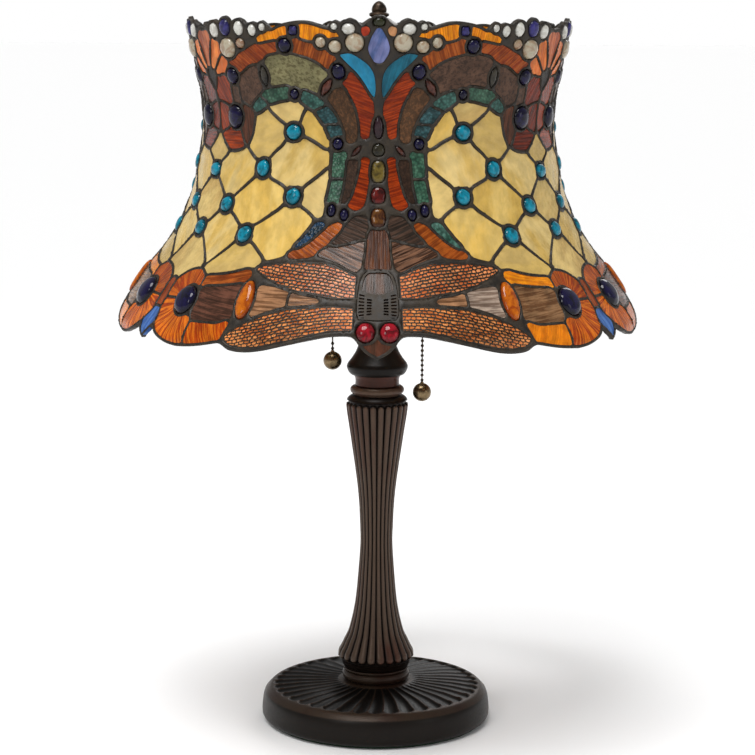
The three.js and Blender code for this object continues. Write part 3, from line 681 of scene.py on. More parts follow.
def dragonfly_pieces():
    """Body segments, eyes and head on the axis, and the strips that border the body."""
    body = [
        ("jewel", rgb(22, 11, 15), rgb(48, 31, 36), [(0, 550.5), (1.3, 545), (1.6, 538), (0.9, 532),
                                                     (0, 530.3)]),
        ("jewel", rgb(16, 15, 10), rgb(50, 46, 34), [(0, 527.8), (1.6, 526), (2, 521), (1.4, 517.5),
                                                     (0, 516.6)]),
        ("jewel", rgb(34, 29, 18), rgb(106, 90, 38), [(0, 514), (1.5, 513), (2.1, 508), (2.1, 501),
                                                      (1.5, 496.5), (0, 495.5)]),
        ("jewel", rgb(38, 10, 8), rgb(96, 24, 20), [(0, 493), (1.6, 491.5), (2.3, 486), (1.7, 480),
                                                    (0, 478.8)]),
        ("jewel", rgb(48, 20, 12), rgb(112, 72, 30), [(0, 476.3), (1.6, 474.8), (2.2, 468), (1.7, 462),
                                                      (0, 460.6)]),
    ]
    made = [
        Piece("dragonfly", kind, tint, accent, both_sides(points), rise=1.8, corner=2.2)
        for kind, tint, accent, points in body
    ]
    made += [
        Piece("dragonfly", "ripple", *PINK_BROWN,
              both_sides([(0, 458), (2.1, 457), (2.5, 445), (2.9, 433), (2.6, 430.2), (0, 429.6)]),
              flow=90),
        Piece("dragonfly", "streaky", rgb(40, 29, 21), rgb(80, 52, 36), both_sides(THORAX),
              flow=90, drop=0.3),
        Piece("dragonfly", "streaky", *HEAD,
              both_sides([(0, 376.4), (1.2, 374.6), (2.9, 373.2), (3, 372), (1.9, 367.6), (0, 363.8)]),
              flow=90, corner=1.5),
        Piece("dragonfly", "jewel", *RED_EYE, oval((2.45, 382.5), 7.9, 7.6), rise=4.4, ready=True),
        # strips beside the tail
        Piece("dragonfly", "ripple", *RED_ORANGE,
              [(8.3, 583), (6, 577), (3.7, 570), (2.5, 562), (2, 554), (2.3, 547), (3.3, 538),
               (3.6, 532.5), (4.7, 532.5), (5.3, 539), (5.9, 548), (6.4, 556), (7.6, 563),
               (9.3, 570), (10.4, 577)], flow=20),
        Piece("dragonfly", "granite", *OLIVE_BROWN,
              [(10.6, 570.5), (14, 567.5), (15, 563.5), (12.6, 555.5), (10.6, 546), (9.4, 536),
               (9, 528.5), (7.4, 530), (6.4, 540), (7.2, 550.5), (8.7, 560)], flow=80),
        Piece("dragonfly", "ripple", *RED_ORANGE,
              [(3.1, 514), (4.6, 514.6), (5.3, 505), (6.1, 495), (7.1, 484), (8.2, 479), (6.5, 475.3),
               (4.7, 478), (4.1, 485), (3.5, 497), (3.1, 506)], flow=15),
        Piece("dragonfly", "granite", *DARK_BROWN,
              [(6.2, 512), (9.2, 513), (9.4, 500), (9.8, 490), (10.3, 481), (9.2, 481.6), (8.1, 487),
               (7.2, 496), (6.5, 504)], flow=85),
        Piece("dragonfly", "jewel", *DARK_WINE, marquise((6.6, 521), 2.1, 6.4, -42), rise=1.8),
        Piece("dragonfly", "ripple", *DUSK_BROWN,
              [(3.6, 468.5), (6.6, 467.5), (7.6, 463), (9.8, 455), (12.1, 448), (10.5, 447.4),
               (6.8, 450), (4, 452.5), (3.3, 460)], flow=22),
        Piece("dragonfly", "ripple", *ROSE_BROWN,
              [(4.1, 449.8), (7.5, 447.4), (11, 444.8), (13.2, 444), (15.3, 440.3), (12, 437.7),
               (8.5, 433.7), (5.5, 428.3), (4.4, 432), (3.9, 441)], flow=22),
        Piece("dragonfly", "ripple", *RUST,
              [(10.4, 463.3), (12.7, 461.2), (15.3, 455.2), (18, 447.9), (21, 441.7), (23, 437.9),
               (21, 437.4), (17.2, 438.9), (14.9, 443.9), (12.6, 451.1), (10.4, 458.2)], flow=30),
        Piece("dragonfly", "hammered", rgb(98, 140, 126), rgb(40, 76, 62),
              [(15, 462.3), (16.8, 462.8), (18.6, 456.5), (20.4, 450.5), (22.2, 445.3), (21.2, 444.4),
               (18.9, 448.8), (16.8, 455)], flow=20, left=(rgb(36, 78, 116), rgb(17, 33, 33))),
    ]
    for at, a, b in [((12.3, 526.6), 4.3, 4.7), ((9.5, 470.4), 3.6, 4.8), ((13.2, 473.6), 3.6, 5.0)]:
        made.append(Piece("dragonfly", "jewel", *NAVY, oval(at, a, b), rise=2.8, ready=True))
    band = [
        (GREEN, [(10.1, 518.8), (13.1, 519.4), (13.3, 508), (13.4, 499.8), (10.3, 499.8), (10, 508)]),
        (GREEN, [(10.3, 497.6), (13.4, 497.6), (13.9, 488.5), (14.5, 480.8), (11.7, 479.8), (10.7, 489)]),
        (TEAL, [(23, 567.2), (19.4, 563.2), (16.9, 557.7), (19.9, 554.7), (21.6, 558.4), (23.6, 562)]),
        (BLUE_TEAL, [(16.1, 555.6), (13.9, 548.2), (12.9, 543.4), (16.4, 543.2), (17.5, 547),
                     (19.1, 552.6)]),
        (BLUE_TEAL, [(12.5, 541.2), (11.7, 537), (11.4, 533.2), (14.3, 531.6), (14.9, 536), (15.9, 541)]),
    ]
    return made + [
        Piece("dragonfly", "hammered", *colours, points, flow=0, corner=1.2) for colours, points in band
    ]


def crown_pieces():
    """The crown: kite and blades in front, arcs over each window, pearls and petals between."""
    sheets = [
        ("streaky", KITE, 70, [(0, 619.4), (0.7, 618.8), (2.4, 611), (3.2, 603.5), (2.8, 598.6),
                               (1.3, 592), (0, 591)], 0.0, None),
        ("streaky", TAN, 60, [(3, 613.4), (4.5, 612.4), (5.1, 616), (5, 619.6), (3.3, 620.8),
                              (2.4, 618)], None, SCARLET),
        ("ripple", BRIGHT_ORANGE, 100,
         [(12.3, 613.2), (15.3, 616.8), (18.3, 620), (21, 621.9), (22.7, 621.8), (23, 613.4), (20.6, 611.4),
          (19.2, 613), (17.2, 614.2), (14.8, 613.4)], None, None),
        ("ripple", BRIGHT_ORANGE, 80,
         [(28, 619.6), (30.2, 619), (33, 615.3), (36.9, 608.6), (34.8, 609.4), (31, 611), (28, 612.2)],
         None, None),
        ("ripple", RUST, 110,
         [(13.5, 594.2), (16, 600.3), (20, 604.2), (25.2, 608.4), (25.5, 600.4), (21.6, 597.4),
          (18, 592.8), (15.4, 587.2)],
         None, None),
        ("ripple", RUST_RED, 40,
         [(31.3, 607.8), (36, 605.3), (39.4, 601.4), (44.2, 595.3), (48.3, 590.8), (45.2, 584),
          (41.4, 590.3), (37.6, 596), (34, 600.3), (31.3, 601.6)], None, None),
        ("granite", BROWN_PURPLE, 20,
         [(16.2, 583.5), (17.8, 588.3), (20.7, 592.3), (25, 595.8), (30, 596.6), (34.2, 594.8), (34.7, 589),
          (34, 579), (33.8, 573.8), (29, 574.8), (25.5, 574.6), (21.8, 572.3), (19.2, 569.6),
          (18.6, 574), (17.2, 579)],
         None, OLIVE_GREY),
        ("granite", BROWN_PURPLE, 70,
         [(38.8, 585.5), (41, 587.4), (43.8, 583), (45.6, 578), (45.8, 572), (46.8, 565.5), (44.2, 557.5),
          (43, 556.6), (41, 563), (38.6, 569.3), (37.8, 574)], None, None),
        ("granite", BROWN_PURPLE, 90,
         [(48.3, 558.4), (50.2, 559), (50.6, 566), (49.9, 572.2), (48.2, 572), (47.9, 566)], None, None),
        ("hammered", GREEN, 0,
         [(28.7, 571.8), (32, 570.3), (36, 567.2), (38, 564.4), (35.6, 560.6), (33, 562), (29, 563.8)],
         None, None),
        ("hammered", TEAL, 0,
         [(39.4, 562.4), (41.7, 558), (42.2, 554.4), (39.9, 553.2), (37, 558.6)], None, None),
        ("ripple", MAROON, 60,
         [(51.8, 560.5), (54.8, 558.6), (58, 560.6), (58.2, 569), (56.2, 577), (54, 580), (52.2, 574.2),
          (51.6, 567)], None,
         RUSSET),
        ("ripple", MAROON, 60,
         [(54.7, 552.8), (56.2, 556.2), (58.4, 557.6), (59, 552), (58.9, 543), (58, 536), (55.3, 538.4),
          (55.4, 546)], None,
         RUSSET),
        ("ripple", MAROON, 0,
         [(47.9, 531.6), (50, 534), (53.6, 535.4), (57, 533), (53.9, 523.9), (50, 521.4), (46.6, 524.2)],
         None, RUSSET),
        ("ripple", DARK_RUST, 80,
         [(43.1, 553.8), (45.6, 555.6), (45.8, 547), (46.3, 538.8), (46.6, 531), (45.1, 526),
          (43.6, 533), (42.9, 543)], None, None),
        ("streaky", CORAL, 90, [(60, 615.6), (58.2, 614.6), (57, 610.6), (57.4, 604), (58.9, 592.6),
                                (60, 588.6)], HALF, None),
        ("streaky", PEACH, 100,
         [(52.5, 601.5), (53.7, 606.3), (55.4, 607.8), (56.2, 604), (57.6, 594), (57.9, 588.6), (57, 588),
          (55.2, 591.4), (53.2, 597)], None, None),
        ("streaky", PEACH, 110,
         [(50.8, 594), (52.2, 595.2), (54.2, 590.4), (55.7, 584), (55.3, 581.6), (53.7, 583.6),
          (51.6, 588.6)], None, None),
        ("granite", SLATE, 90, [(60, 584.5), (58.9, 582), (59, 575), (60, 571.5)],
         HALF, (rgb(28, 52, 44), rgb(48, 70, 60))),
    ]
    made = [
        Piece("crown", kind, *colours, points if axis is None else both_sides(points, axis),
              flow=flow, left=left,
              drop=0.02 if colours in (KITE, TAN) else 0.0)
        for kind, colours, flow, points, axis, left in sheets
    ]
    made.append(Piece(
        "crown", "streaky", *DEEP_TEAL,
        [(1.3, 563.5), (0.9, 570), (1, 577), (1.5, 583.5), (3, 590), (6.4, 596.6), (8.5, 599.4),
         (11.6, 598), (9.3, 591), (6.3, 583.4), (4.1, 575), (2.6, 568)], flow=75, left=SKY, drop=0.02))
    ovals = [
        (PEARL, "pearl", (7, 607.6), 7.7, 7.6, 0, 4.0), (WHITE_PEARL, "pearl", (8.7, 618.5),
                                                         5.6, 4.6, 0, 2.8),
        (WHITE_PEARL, "pearl", (12.9, 620.3), 2.9, 2.8, 0, 1.8), (PEARL, "pearl", (12.8, 604.5),
                                                                  5.4, 5.1, 0, 3.0),
        (PEARL, "pearl", (17.1, 607.8), 4.4, 4.5, 0, 2.6), (NAVY, "jewel", (28.4, 605), 5.8, 6.0, 0, 3.2),
        (NAVY, "jewel", (12, 584.6), 5.6, 6.4, 15, 3.2), (NAVY, "jewel", (26.3, 566.2), 3.9, 4.2, 0, 2.6),
        (WHITE_PEARL, "pearl", (35.4, 619.6), 3.1, 3.3, 0, 2.0), (WHITE_PEARL, "pearl", (38.9, 617.2),
                                                                  4.0, 4.8, 0, 2.6),
        (WHITE_PEARL, "pearl", (43.6, 618.8), 4.9, 6.0, 0, 3.0), (ROSE_PEARL, "pearl", (43.6, 606.8),
                                                                  4.6, 4.3, 0, 2.8),
        (VIOLET, "jewel", (48.8, 619.4), 5.8, 7.0, 0, 3.2), (PEARL, "pearl", (48.6, 603), 8.2, 8.2, 0, 4.2),
        (WHITE_PEARL, "pearl", (53.5, 617.2), 4.8, 6.2, 12, 3.0), (NAVY, "jewel", (48.9, 580.2),
                                                                   6.2, 6.6, 0, 3.6),
        (NAVY, "jewel", (50.5, 546.6), 9.4, 9.8, 0, 5.0),
    ]
    for colours, kind, at, a, b, lean, rise in ovals:
        made.append(Piece("crown", kind, *colours, oval(at, a, b, lean), flow=rng.uniform(0, 180),
                          rise=rise, ready=True))
    made.append(Piece("crown", "jewel", *VIOLET, [(24, 621), (26.6, 621), (26.7, 613.4), (24.1, 613.4)],
                      rise=2.4))
    made.append(Piece("crown", "jewel", rgb(14, 15, 8), rgb(42, 44, 26), oval((0, 623.8), 5.2, 3.7),
                      rise=2.6, ready=True))
    made.append(Piece("crown", "jewel", *DARK_WINE, marquise((15.8, 572), 3.4, 9.2, -33), rise=2.2))
    made.append(Piece("crown", "jewel", rgb(18, 15, 11), rgb(54, 50, 42), marquise((36.4, 580.6),
                                                                                   3.6, 9.4, 8),
                                                                                   rise=2.2))
    return made


UPPER_WING = [
    (5, 407), (5, 423.8), (8, 428), (10.5, 431.4), (13.5, 433.4), (18, 433.6), (22, 432.9), (26, 431.2),
    (29.2, 429.3), (30.6, 427.2), (30.6, 425.4), (29.2, 423.2), (26, 418.6), (22, 414.2), (18, 411.3),
    (15, 409.6), (10, 407.2),
]
LOWER_WING = [
    (5.1, 400.4), (10, 401.5), (15, 400.3), (21, 397.9), (25, 392.8), (29, 385.9), (31.6, 379.8),
    (33, 374.6),
    (32.9, 371.2), (31.3, 368), (28, 367), (24, 368.7), (19, 373.9), (14, 379.2), (10, 383), (5.1, 383.6),
]


def wing_pieces():
    return [
        Piece("wing", "wing", *WING, UPPER_WING, flow=8, drop=0.15),
        Piece("wing", "wing", *LOW_WING, LOWER_WING, flow=-12, drop=0.15),
        Piece("wing", "ripple", *TAN_RIPPLE, [(13.6, 404.8), (17, 406.3), (19.8, 408.2), (19.8, 402.4),
                                              (17.6, 403)], flow=0),
        Piece("wing", "ripple", *WHITE_RIPPLE,
              [(20.4, 408.6), (24, 410.4), (27.6, 411.2), (28.1, 405), (27.8, 394), (25.6, 396.4),
               (22.3, 400.8), (20.4, 402.2)],
              flow=0, left=TAN_RIPPLE),
        Piece("wing", "jewel", *AMBER, oval((30.6, 403), 7.6, 14.6, 3), rise=3.6, ready=True),
    ]


def eye_panel_pieces():
    """The peacock eye between two dragonflies: a navy jewel inside radiating orange petals."""
    eye = (49.2, 397.8)
    return [
        Piece("eye", "jewel", *NAVY, oval(eye, 13.2, 11.2), rise=6.0, ready=True),
        Piece("eye", "ripple", *BRIGHT_ORANGE,
              [(32.2, 420.8), (33.6, 423.6), (35.4, 422), (39.2, 418.6), (45.2, 415.2), (46, 412.8),
               (45.2, 411.8), (38.6, 413.8), (33.9, 417)], flow=-10, left=RUST),
        Piece("eye", "ripple", *WAVY_BROWN,
              [(33.7, 413), (38.4, 411), (44.4, 409.2), (44.6, 404.4), (44, 399), (44.2, 391),
               (43.6, 385.2), (36.8, 385.8), (33.7, 389), (33.4, 400)], flow=4, left=WAVY_DARK),
        Piece("eye", "ripple", *MOTTLED_ORANGE,
              [(46.9, 413), (49, 417.6), (52, 419), (54.9, 416.6), (56.9, 411), (57.7, 404), (57.4, 399.2),
               (54.4, 399.6), (53.8, 404.6), (51.9, 409.6), (49.2, 411.9)], flow=eye),
        Piece("eye", "ripple", *PETAL_ORANGE,
              [(45, 382), (45, 367.2), (47, 366), (50.1, 367.8), (53.3, 372), (55.6, 378), (57.1, 386),
               (57.5, 396.4), (54.5, 396.8), (53.3, 391), (51, 386.2), (48, 383.8)], flow=eye),
        Piece("eye", "ripple", *SMOOTH_ORANGE,
              [(33.6, 385.6), (35.6, 382.2), (43.4, 381.4), (43.7, 367.2), (41.4, 367.6), (38.4, 369.4),
               (35.6, 371.8), (34.6, 375.4), (34.2, 380)], flow=60, left=PETAL_ORANGE),
        Piece("eye", "streaky", *BLUE,
              both_sides([(60, 388), (58.9, 384), (58, 378.5), (58.5, 373.5), (60, 367.4)], HALF),
              flow=90, corner=1.2),
        Piece("eye", "ripple", *RUST_RED,
              both_sides([(60, 410.5), (59.2, 407), (58.9, 400), (59.2, 394), (60, 391.4)], HALF), flow=90,
              left=MAROON),
    ]


# Width in millimetres of the solder line between two pieces of glass, and how many times each
# zone's glass spreads towards it.
LINES = {"lattice": 3.1, "eye": 2.5, "wing": 2.5, "dragonfly": 2.5, "crown": 2.5}
GROWTH_STEPS = {"lattice": 9, "eye": 9, "wing": 9, "dragonfly": 5, "crown": 8}
GROWTH = 0.4             # the most that an outline moves outward in one step,
RETREAT = 0.15           # and inward
LEAST_EDGE = 0.7         # points on a grown outline that lie closer than this are dropped
NEIGHBOUR_REACH = 12     # degrees beyond the half motif in which the mirror image's glass counts
RIM_SPACING = 1.2


def crowd(pieces):
    """Points in millimetres on every outline and rim, with the number of the piece they belong to."""
    places, owners = [], []

    def add(angle, height, owner):
        places.append(on_wall(angle, height))
        owners.append(owner)

    for number, piece in enumerate(pieces):
        for angle, height in piece.outline:
            add(angle, height, number)
            if not piece.whole and angle < NEIGHBOUR_REACH:
                add(-angle, height, -2 - number)
            if not piece.whole and angle > HALF - NEIGHBOUR_REACH:
                add(2 * HALF - angle, height, -2 - number)
    for rim in (LOWER_RIM, UPPER_RIM):
        for p in curve_through(on_plane(rim), RIM_SPACING):
            add(p[0] / PLANE_SCALE, p[1], -1)
    return places, owners


def grow(pieces):
    """Lets the sheet glass spread until only a solder line is left beside each neighbour."""
    for step in range(max(GROWTH_STEPS.values())):
        places, owners = crowd(pieces)
        tree = KDTree(len(places))
        for i, place in enumerate(places):
            tree.insert(place, i)
        tree.balance()
        for number, piece in enumerate(pieces):
            if piece.rise or piece.kind == "wing" or piece.drop or step >= GROWTH_STEPS[piece.zone]:
                continue
            line = LINES[piece.zone]
            moved_plane = []
            count = len(piece.plane)
            for i, p in enumerate(piece.plane):
                place = on_wall(*piece.outline[i])
                others = [
                    distance for _, j, distance in tree.find_range(place, line + 3 * GROWTH + 1)
                    if owners[j] != number
                ]
                room = (min(others) - line) / 2 if others else GROWTH
                along = piece.plane[(i + 1) % count] - piece.plane[i - 1]
                outward = Vector((along[1], -along[0])).normalized() * piece.hand
                moved_plane.append(p + outward * max(-RETREAT, min(GROWTH, room)))
            piece.set_plane(divided(thinned(moved_plane, LEAST_EDGE), SHEET_EDGE))


def thinned(points, least):
    """A closed outline without the points that crowd the one before them."""
    made = [points[0]]
    for p in points[1:]:
        if (p - made[-1]).length >= least:
            made.append(p)
    while len(made) > 4 and (made[-1] - made[0]).length < least:
        made.pop()
    return made


# Edges of the leaded shade, a little outside the glass: scallops below, pearls' rings above.
LOWER_RIM = [
    (0, 361.5), (2.2, 366.4), (3.6, 372), (4.6, 377.6), (6, 380.4), (10, 379.6), (14, 376), (19, 370.6),
    (24, 365.6),
    (28, 363.4), (31.6, 364.2), (33.6, 368.2), (35, 368.6), (38.2, 366), (41.4, 364), (45, 362.6),
    (47.2, 362.4), (50.6, 364), (54.2, 368.6), (56.4, 374), (57.2, 374.6), (58.2, 370), (60, 363.5),
]
UPPER_RIM = [
    (0, 629.2), (1.4, 628.6), (2.4, 626.4), (3.3, 623.6), (4.9, 621), (6.4, 624.8), (8.3, 626.8),
    (10, 625), (11, 623.6), (12.5, 625.2), (13.9, 623.4),
    (14.8, 620), (17.5, 622), (20.5, 624.2), (23.5, 624.6), (26.8, 623.6), (30, 621.6), (32.6, 618.6),
    (33.5, 621),
    (35.4, 624.8), (37.1, 622.8), (38.9, 624), (40.7, 622.6), (41.7, 625), (43.6, 627), (45.4, 625.4),
    (46.4, 623), (47.3, 626.6), (48.8, 628.6), (50.4, 626.6), (51.4, 623.4), (53.2, 625.8), (55.2, 624.4),
    (57, 620.6), (60, 619),
]


# ---------------------------------------------------------------- triangulating the pattern
def spaced_grid(low, high, spacing):
    """Staggered points inside a plane box."""
    rows = []
    z, odd = low[1], False
    while z < high[1]:
        x = low[0] + (spacing / 2 if odd else 0)
        while x < high[0]:
            rows.append(Vector((x, z)))
            x += spacing
        z += spacing * 0.866
        odd = not odd
    return rows


def nearest_tree(points):
    tree = KDTree(len(points))
    for i, p in enumerate(points):
        tree.insert((p[0], p[1], 0), i)
    tree.balance()
    return tree


def signed_area(points):
    """Area of a closed outline, positive when it runs anticlockwise."""
    return sum(
        points[i - 1][0] * points[i][1] - points[i][0] * points[i - 1][1] for i in range(len(points))
    ) / 2


def triangulated(loops, extra=()):
    """Delaunay triangles inside closed loops, each with the numbers of the loops around it."""
    points, faces = [], []
    for loop in loops:
        anticlockwise = loop if signed_area(loop) > 0 else list(reversed(loop))
        faces.append(list(range(len(points), len(points) + len(loop))))
        points += [Vector((p[0], p[1])) for p in anticlockwise]
    found = delaunay_2d_cdt(points + list(extra), [], faces, 0, 1e-4, True)
    return found[0], [(list(face), list(inside)) for face, inside in zip(found[2], found[5])]


def fill(loops, extra):
    """Points and triangles inside the first loop, leaving out the loops that follow."""
    points, found = triangulated(loops, extra)
    return only_used(points, [face for face, inside in found if inside == [0]])


def only_used(points, triangles):
    """The points that triangles use, and the triangles numbered to match, all wound one way."""
    used = sorted({i for triangle in triangles for i in triangle})
    index = {old: new for new, old in enumerate(used)}
    points = [points[i] for i in used]
    return points, wound(points, [[index[i] for i in t] for t in triangles])


def wound(points, triangles):
    """The triangles with every one turned the same way round."""
    made = []
    for a, b, c in triangles:
        area = (points[b][0] - points[a][0]) * (points[c][1] - points[a][1]) - (
            points[c][0] - points[a][0]) * (points[b][1] - points[a][1])
        made.append((a, b, c) if area > 0 else (a, c, b))
    return made


def rim_edges(triangles):
    """Directed edges that belong to only one triangle."""
    seen = dict.fromkeys(edge for a, b, c in triangles for edge in ((a, b), (b, c), (c, a)))
    return [edge for edge in seen if (edge[1], edge[0]) not in seen]


def slab(points, triangles, skip=lambda edge: False):
    """Faces of a closed sheet: the triangles, their copies on the back, and the walls between."""
    count = len(points)
    back = [(c + count, b + count, a + count) for a, b, c in triangles]
    walls = [
        (b, a, a + count, b + count) for a, b in rim_edges(triangles) if not skip((a, b))
    ]
    return list(triangles) + back + walls


class Sheet:
    """Points in metres, faces and per-point values of one closed piece, ready to be copied."""

    def __init__(self, points, faces, flow, depth):
        self.points, self.faces, self.flow, self.depth = points, faces, flow, depth


def flow_of(piece, plane):
    """Streak coordinates of plane points: along and across the streaks, in millimetres."""
    if isinstance(piece.flow, tuple):
        scale = degree_length(piece.middle[1])
        x = plane[:, 0] + (piece.middle[0] - piece.flow[0]) * scale
        z = plane[:, 1] + piece.middle[1] - piece.flow[1]
        radius = np.hypot(x, z)
        return radius, np.arctan2(z, x) * 24
    turn = math.radians(piece.flow)
    return (
        plane[:, 0] * math.cos(turn) + plane[:, 1] * math.sin(turn),
        -plane[:, 0] * math.sin(turn) + plane[:, 1] * math.cos(turn),
    )


def glass_sheet(piece):
    """Meshes one piece: nearly flat sheet glass, or a domed jewel where it has a rise."""
    edge = [Vector(p) for p in piece.plane]
    near = nearest_tree(edge)
    spacing = JEWEL_GRID if piece.rise else SHEET_GRID
    low = (min(p[0] for p in edge), min(p[1] for p in edge))
    high = (max(p[0] for p in edge), max(p[1] for p in edge))
    extra = [p for p in spaced_grid(low, high, spacing) if near.find((p[0], p[1], 0))[2] > 0.5 * spacing]
    points, triangles = fill([edge], extra)
    plane = np.array(points, float)
    inward = np.array([near.find((p[0], p[1], 0))[2] for p in points])
    reach = max(inward.max(), 0.5)
    dome = np.sqrt(np.clip(1 - (1 - inward / reach) ** 2, 0, 1)) if piece.rise else np.zeros(len(points))
    scale = degree_length(piece.middle[1])
    angle = piece.middle[0] + plane[:, 0] / scale
    height = piece.middle[1] + plane[:, 1]
    outer = on_shade(angle, height, piece.rise * dome - piece.drop)
    if not piece.rise:
        outer = flattened(outer)
    inner = on_shade(angle, height, np.full(len(points), -GLASS_THICKNESS))
    along, across = flow_of(piece, plane)
    flow = np.stack([along, across, np.zeros(len(points))], axis=-1)
    return Sheet(
        np.concatenate([outer, inner]), slab(points, triangles),
        np.concatenate([flow, flow]), np.concatenate([dome, np.zeros(len(points))]),
    )


def flattened(points, most=0.45 * MM):
    """Moves points towards their own mean plane, because sheet glass is cut flat."""
    middle = points.mean(axis=0)
    normal = np.linalg.svd(points - middle, full_matrices=False)[2][2]
    distance = (points - middle) @ normal
    worst = np.abs(distance).max()
    share = min(0.9, most / worst) if worst > 1e-6 else 0
    return points - np.outer(distance * share, normal)


def copy_points(points, mirrored, motif):
    turn = math.radians(SECTOR * motif)
    c, s = math.cos(turn), math.sin(turn)
    x = -points[:, 0] if mirrored else points[:, 0]
    y = points[:, 1]
    return np.stack([x * c - y * s, x * s + y * c, points[:, 2]], axis=-1)


def placed_faces(faces, mirrored, offset):
    """Faces numbered from offset, turned over when their points are mirrored."""
    return [tuple(i + offset for i in (reversed(face) if mirrored else face)) for face in faces]


def varied(colour, amount):
    """The colour a little lighter or darker, as glass from another sheet is."""
    k = 1 + rng.uniform(-amount, amount)
    return (*(min(1.0, c * k) for c in colour[:3]), 1.0)


# ---------------------------------------------------------------- the glass, zone by zone
ZONE_SLOTS = {
    "dragonfly": "dragonfly_glass", "wing": "wing_glass", "eye": "eye_glass",
    "lattice": "cream_glass", "crown": "crown_glass",
}


def home_of(piece, mirrored, motif):
    """Name of the CAD node that a copy of a piece belongs to."""
    number = motif + 1
    side = "left" if mirrored else "right"
    if piece.zone == "dragonfly":
        return f"dragonfly_{number}"
    if piece.zone in ("wing", "crown"):
        return f"{piece.zone}_{number}_{side}"
    panel = (motif - 1 if mirrored else motif) % MOTIFS + 1
    return f"{piece.zone}_panel_{panel}"


def build_glass(pieces):
    homes = {}
    for piece in pieces:
        sheet = glass_sheet(piece)
        for motif in range(MOTIFS):
            for mirrored in ((False,) if piece.whole else (False, True)):
                homes.setdefault(home_of(piece, mirrored, motif), []).append(
                    (piece, sheet, mirrored, motif))
    for name, copies in homes.items():
        build_zone(name, copies)


TINT_CHANGE, JEWEL_CHANGE, ACCENT_CHANGE, SHEET_CHANGE = 0.1, 0.05, 0.08, 0.06
FLOW_START = (400, 400, 50)          # how far apart the streaks of two pieces may be cut


def build_zone(name, copies):
    points, faces, kinds, which = [], [], [], []
    values = {"tint": [], "accent": [], "flow": [], "depth": []}
    total = 0
    for piece, sheet, mirrored, motif in copies:
        placed = copy_points(sheet.points, mirrored, motif)
        tint, accent = piece.left if mirrored else (piece.tint, piece.accent)
        lift = rng.uniform(-SHEET_CHANGE, SHEET_CHANGE)
        tint = varied(tint, JEWEL_CHANGE if piece.rise else TINT_CHANGE + lift)
        accent = varied(accent, ACCENT_CHANGE)
        if piece.kind not in kinds:
            kinds.append(piece.kind)
        faces += placed_faces(sheet.faces, mirrored, total)
        which += [kinds.index(piece.kind)] * len(sheet.faces)
        points.append(placed)
        total += len(placed)
        offset = np.array([rng.uniform(0, furthest) for furthest in FLOW_START])
        values["flow"].append(sheet.flow + offset)
        values["depth"].append(sheet.depth)
        values["tint"].append(np.tile(tint, (len(placed), 1)))
        values["accent"].append(np.tile(accent, (len(placed), 1)))
    layers = {"tint": "FLOAT_COLOR", "accent": "FLOAT_COLOR", "flow": "FLOAT_VECTOR", "depth": "FLOAT"}
    made = make_object(
        "glass_" + name, np.concatenate(points), faces, [MATERIALS[kind] for kind in kinds], which,
        [(key, kind, np.concatenate(values[key])) for key, kind in layers.items()],
    )
    place_on(made, "shade", ZONE_SLOTS[name.split("_")[0]], name)


# ---------------------------------------------------------------- solder lines
def curve_through(points, step):
    """A smooth open curve through points, given every step or less, in plane units."""
    made = []
    count = len(points)
    for i in range(count - 1):
        a, b = points[i], points[i + 1]
        before, after = points[max(0, i - 1)], points[min(count - 1, i + 2)]
        parts = max(1, math.ceil((b - a).length / step))
        for k in range(parts):
            t = k / parts
            made.append(0.5 * (2 * a + (b - before) * t + (2 * before - 5 * a + 4 * b - after) * t * t
                               + (3 * a - before - 3 * b + after) * t**3))
    return made + [points[-1]]


PLANE_SCALE = 3.2        # millimetres per degree in the plane the solder is triangulated in


def on_plane(points):
    return [Vector((angle * PLANE_SCALE, height)) for angle, height in points]


RIM_STEP, UPRIGHT_STEP, LEAD_GRID = 2.2, 2.4, 2.3
LEAD_LOW, LEAD_HIGH = 355, 632       # heights that the grid of inner points covers
BESIDE_GLASS = 1.25      # distance of the first row of inner points from a piece of glass
LEAST_APART = 1.3        # inner points lie at least this far apart,
LEAST_FROM_EDGE = 0.95   # this far from any outline
LEAST_FROM_SIDE = 0.7    # and this far from the edges of the half motif
MIRROR_REACH = 12        # how deep the mirror image of the neighbouring half is looked at
LEAD_ROUNDING = 1.5      # how far in from its edge a solder line reaches its full height
LEAD_RIPPLE = 0.16       # how much the crown rises and falls along a line
LEAD_CELL = 1.5          # side of the cells in which points that lie close are looked for
LEAD_SIDE = HALF * PLANE_SCALE


def upright(x, low, high):
    """Points between two heights on an upright edge of the half motif."""
    parts = math.ceil((high - low) / UPRIGHT_STEP)
    return [Vector((x, low + (high - low) * k / parts)) for k in range(1, parts)]


def points_beside(hole):
    """A row of points just outside a piece of glass."""
    count = len(hole)
    middle = sum(hole, Vector((0, 0))) / count
    made = []
    for i in range(0, count, 2):
        along = hole[(i + 1) % count] - hole[i - 1]
        if along.length < 1e-6:
            continue
        normal = Vector((along[1], -along[0])).normalized()
        if normal.dot(hole[i] - middle) < 0:
            normal = -normal
        made.append(hole[i] + normal * BESIDE_GLASS)
    return made


def well_spaced(points, near):
    """The points that lie clear of the edges and of the points kept before them."""
    cells, kept = {}, []
    for p in points:
        if not LEAST_FROM_SIDE < p[0] < LEAD_SIDE - LEAST_FROM_SIDE:
            continue
        if near.find((p[0], p[1], 0))[2] < LEAST_FROM_EDGE:
            continue
        key = (round(p[0] / LEAD_CELL), round(p[1] / LEAD_CELL))
        around = [cells.get((key[0] + i, key[1] + j)) for i in (-1, 0, 1) for j in (-1, 0, 1)]
        if any(q is not None and (q - p).length < LEAST_APART for q in around):
            continue
        cells[key] = p
        kept.append(p)
    return kept


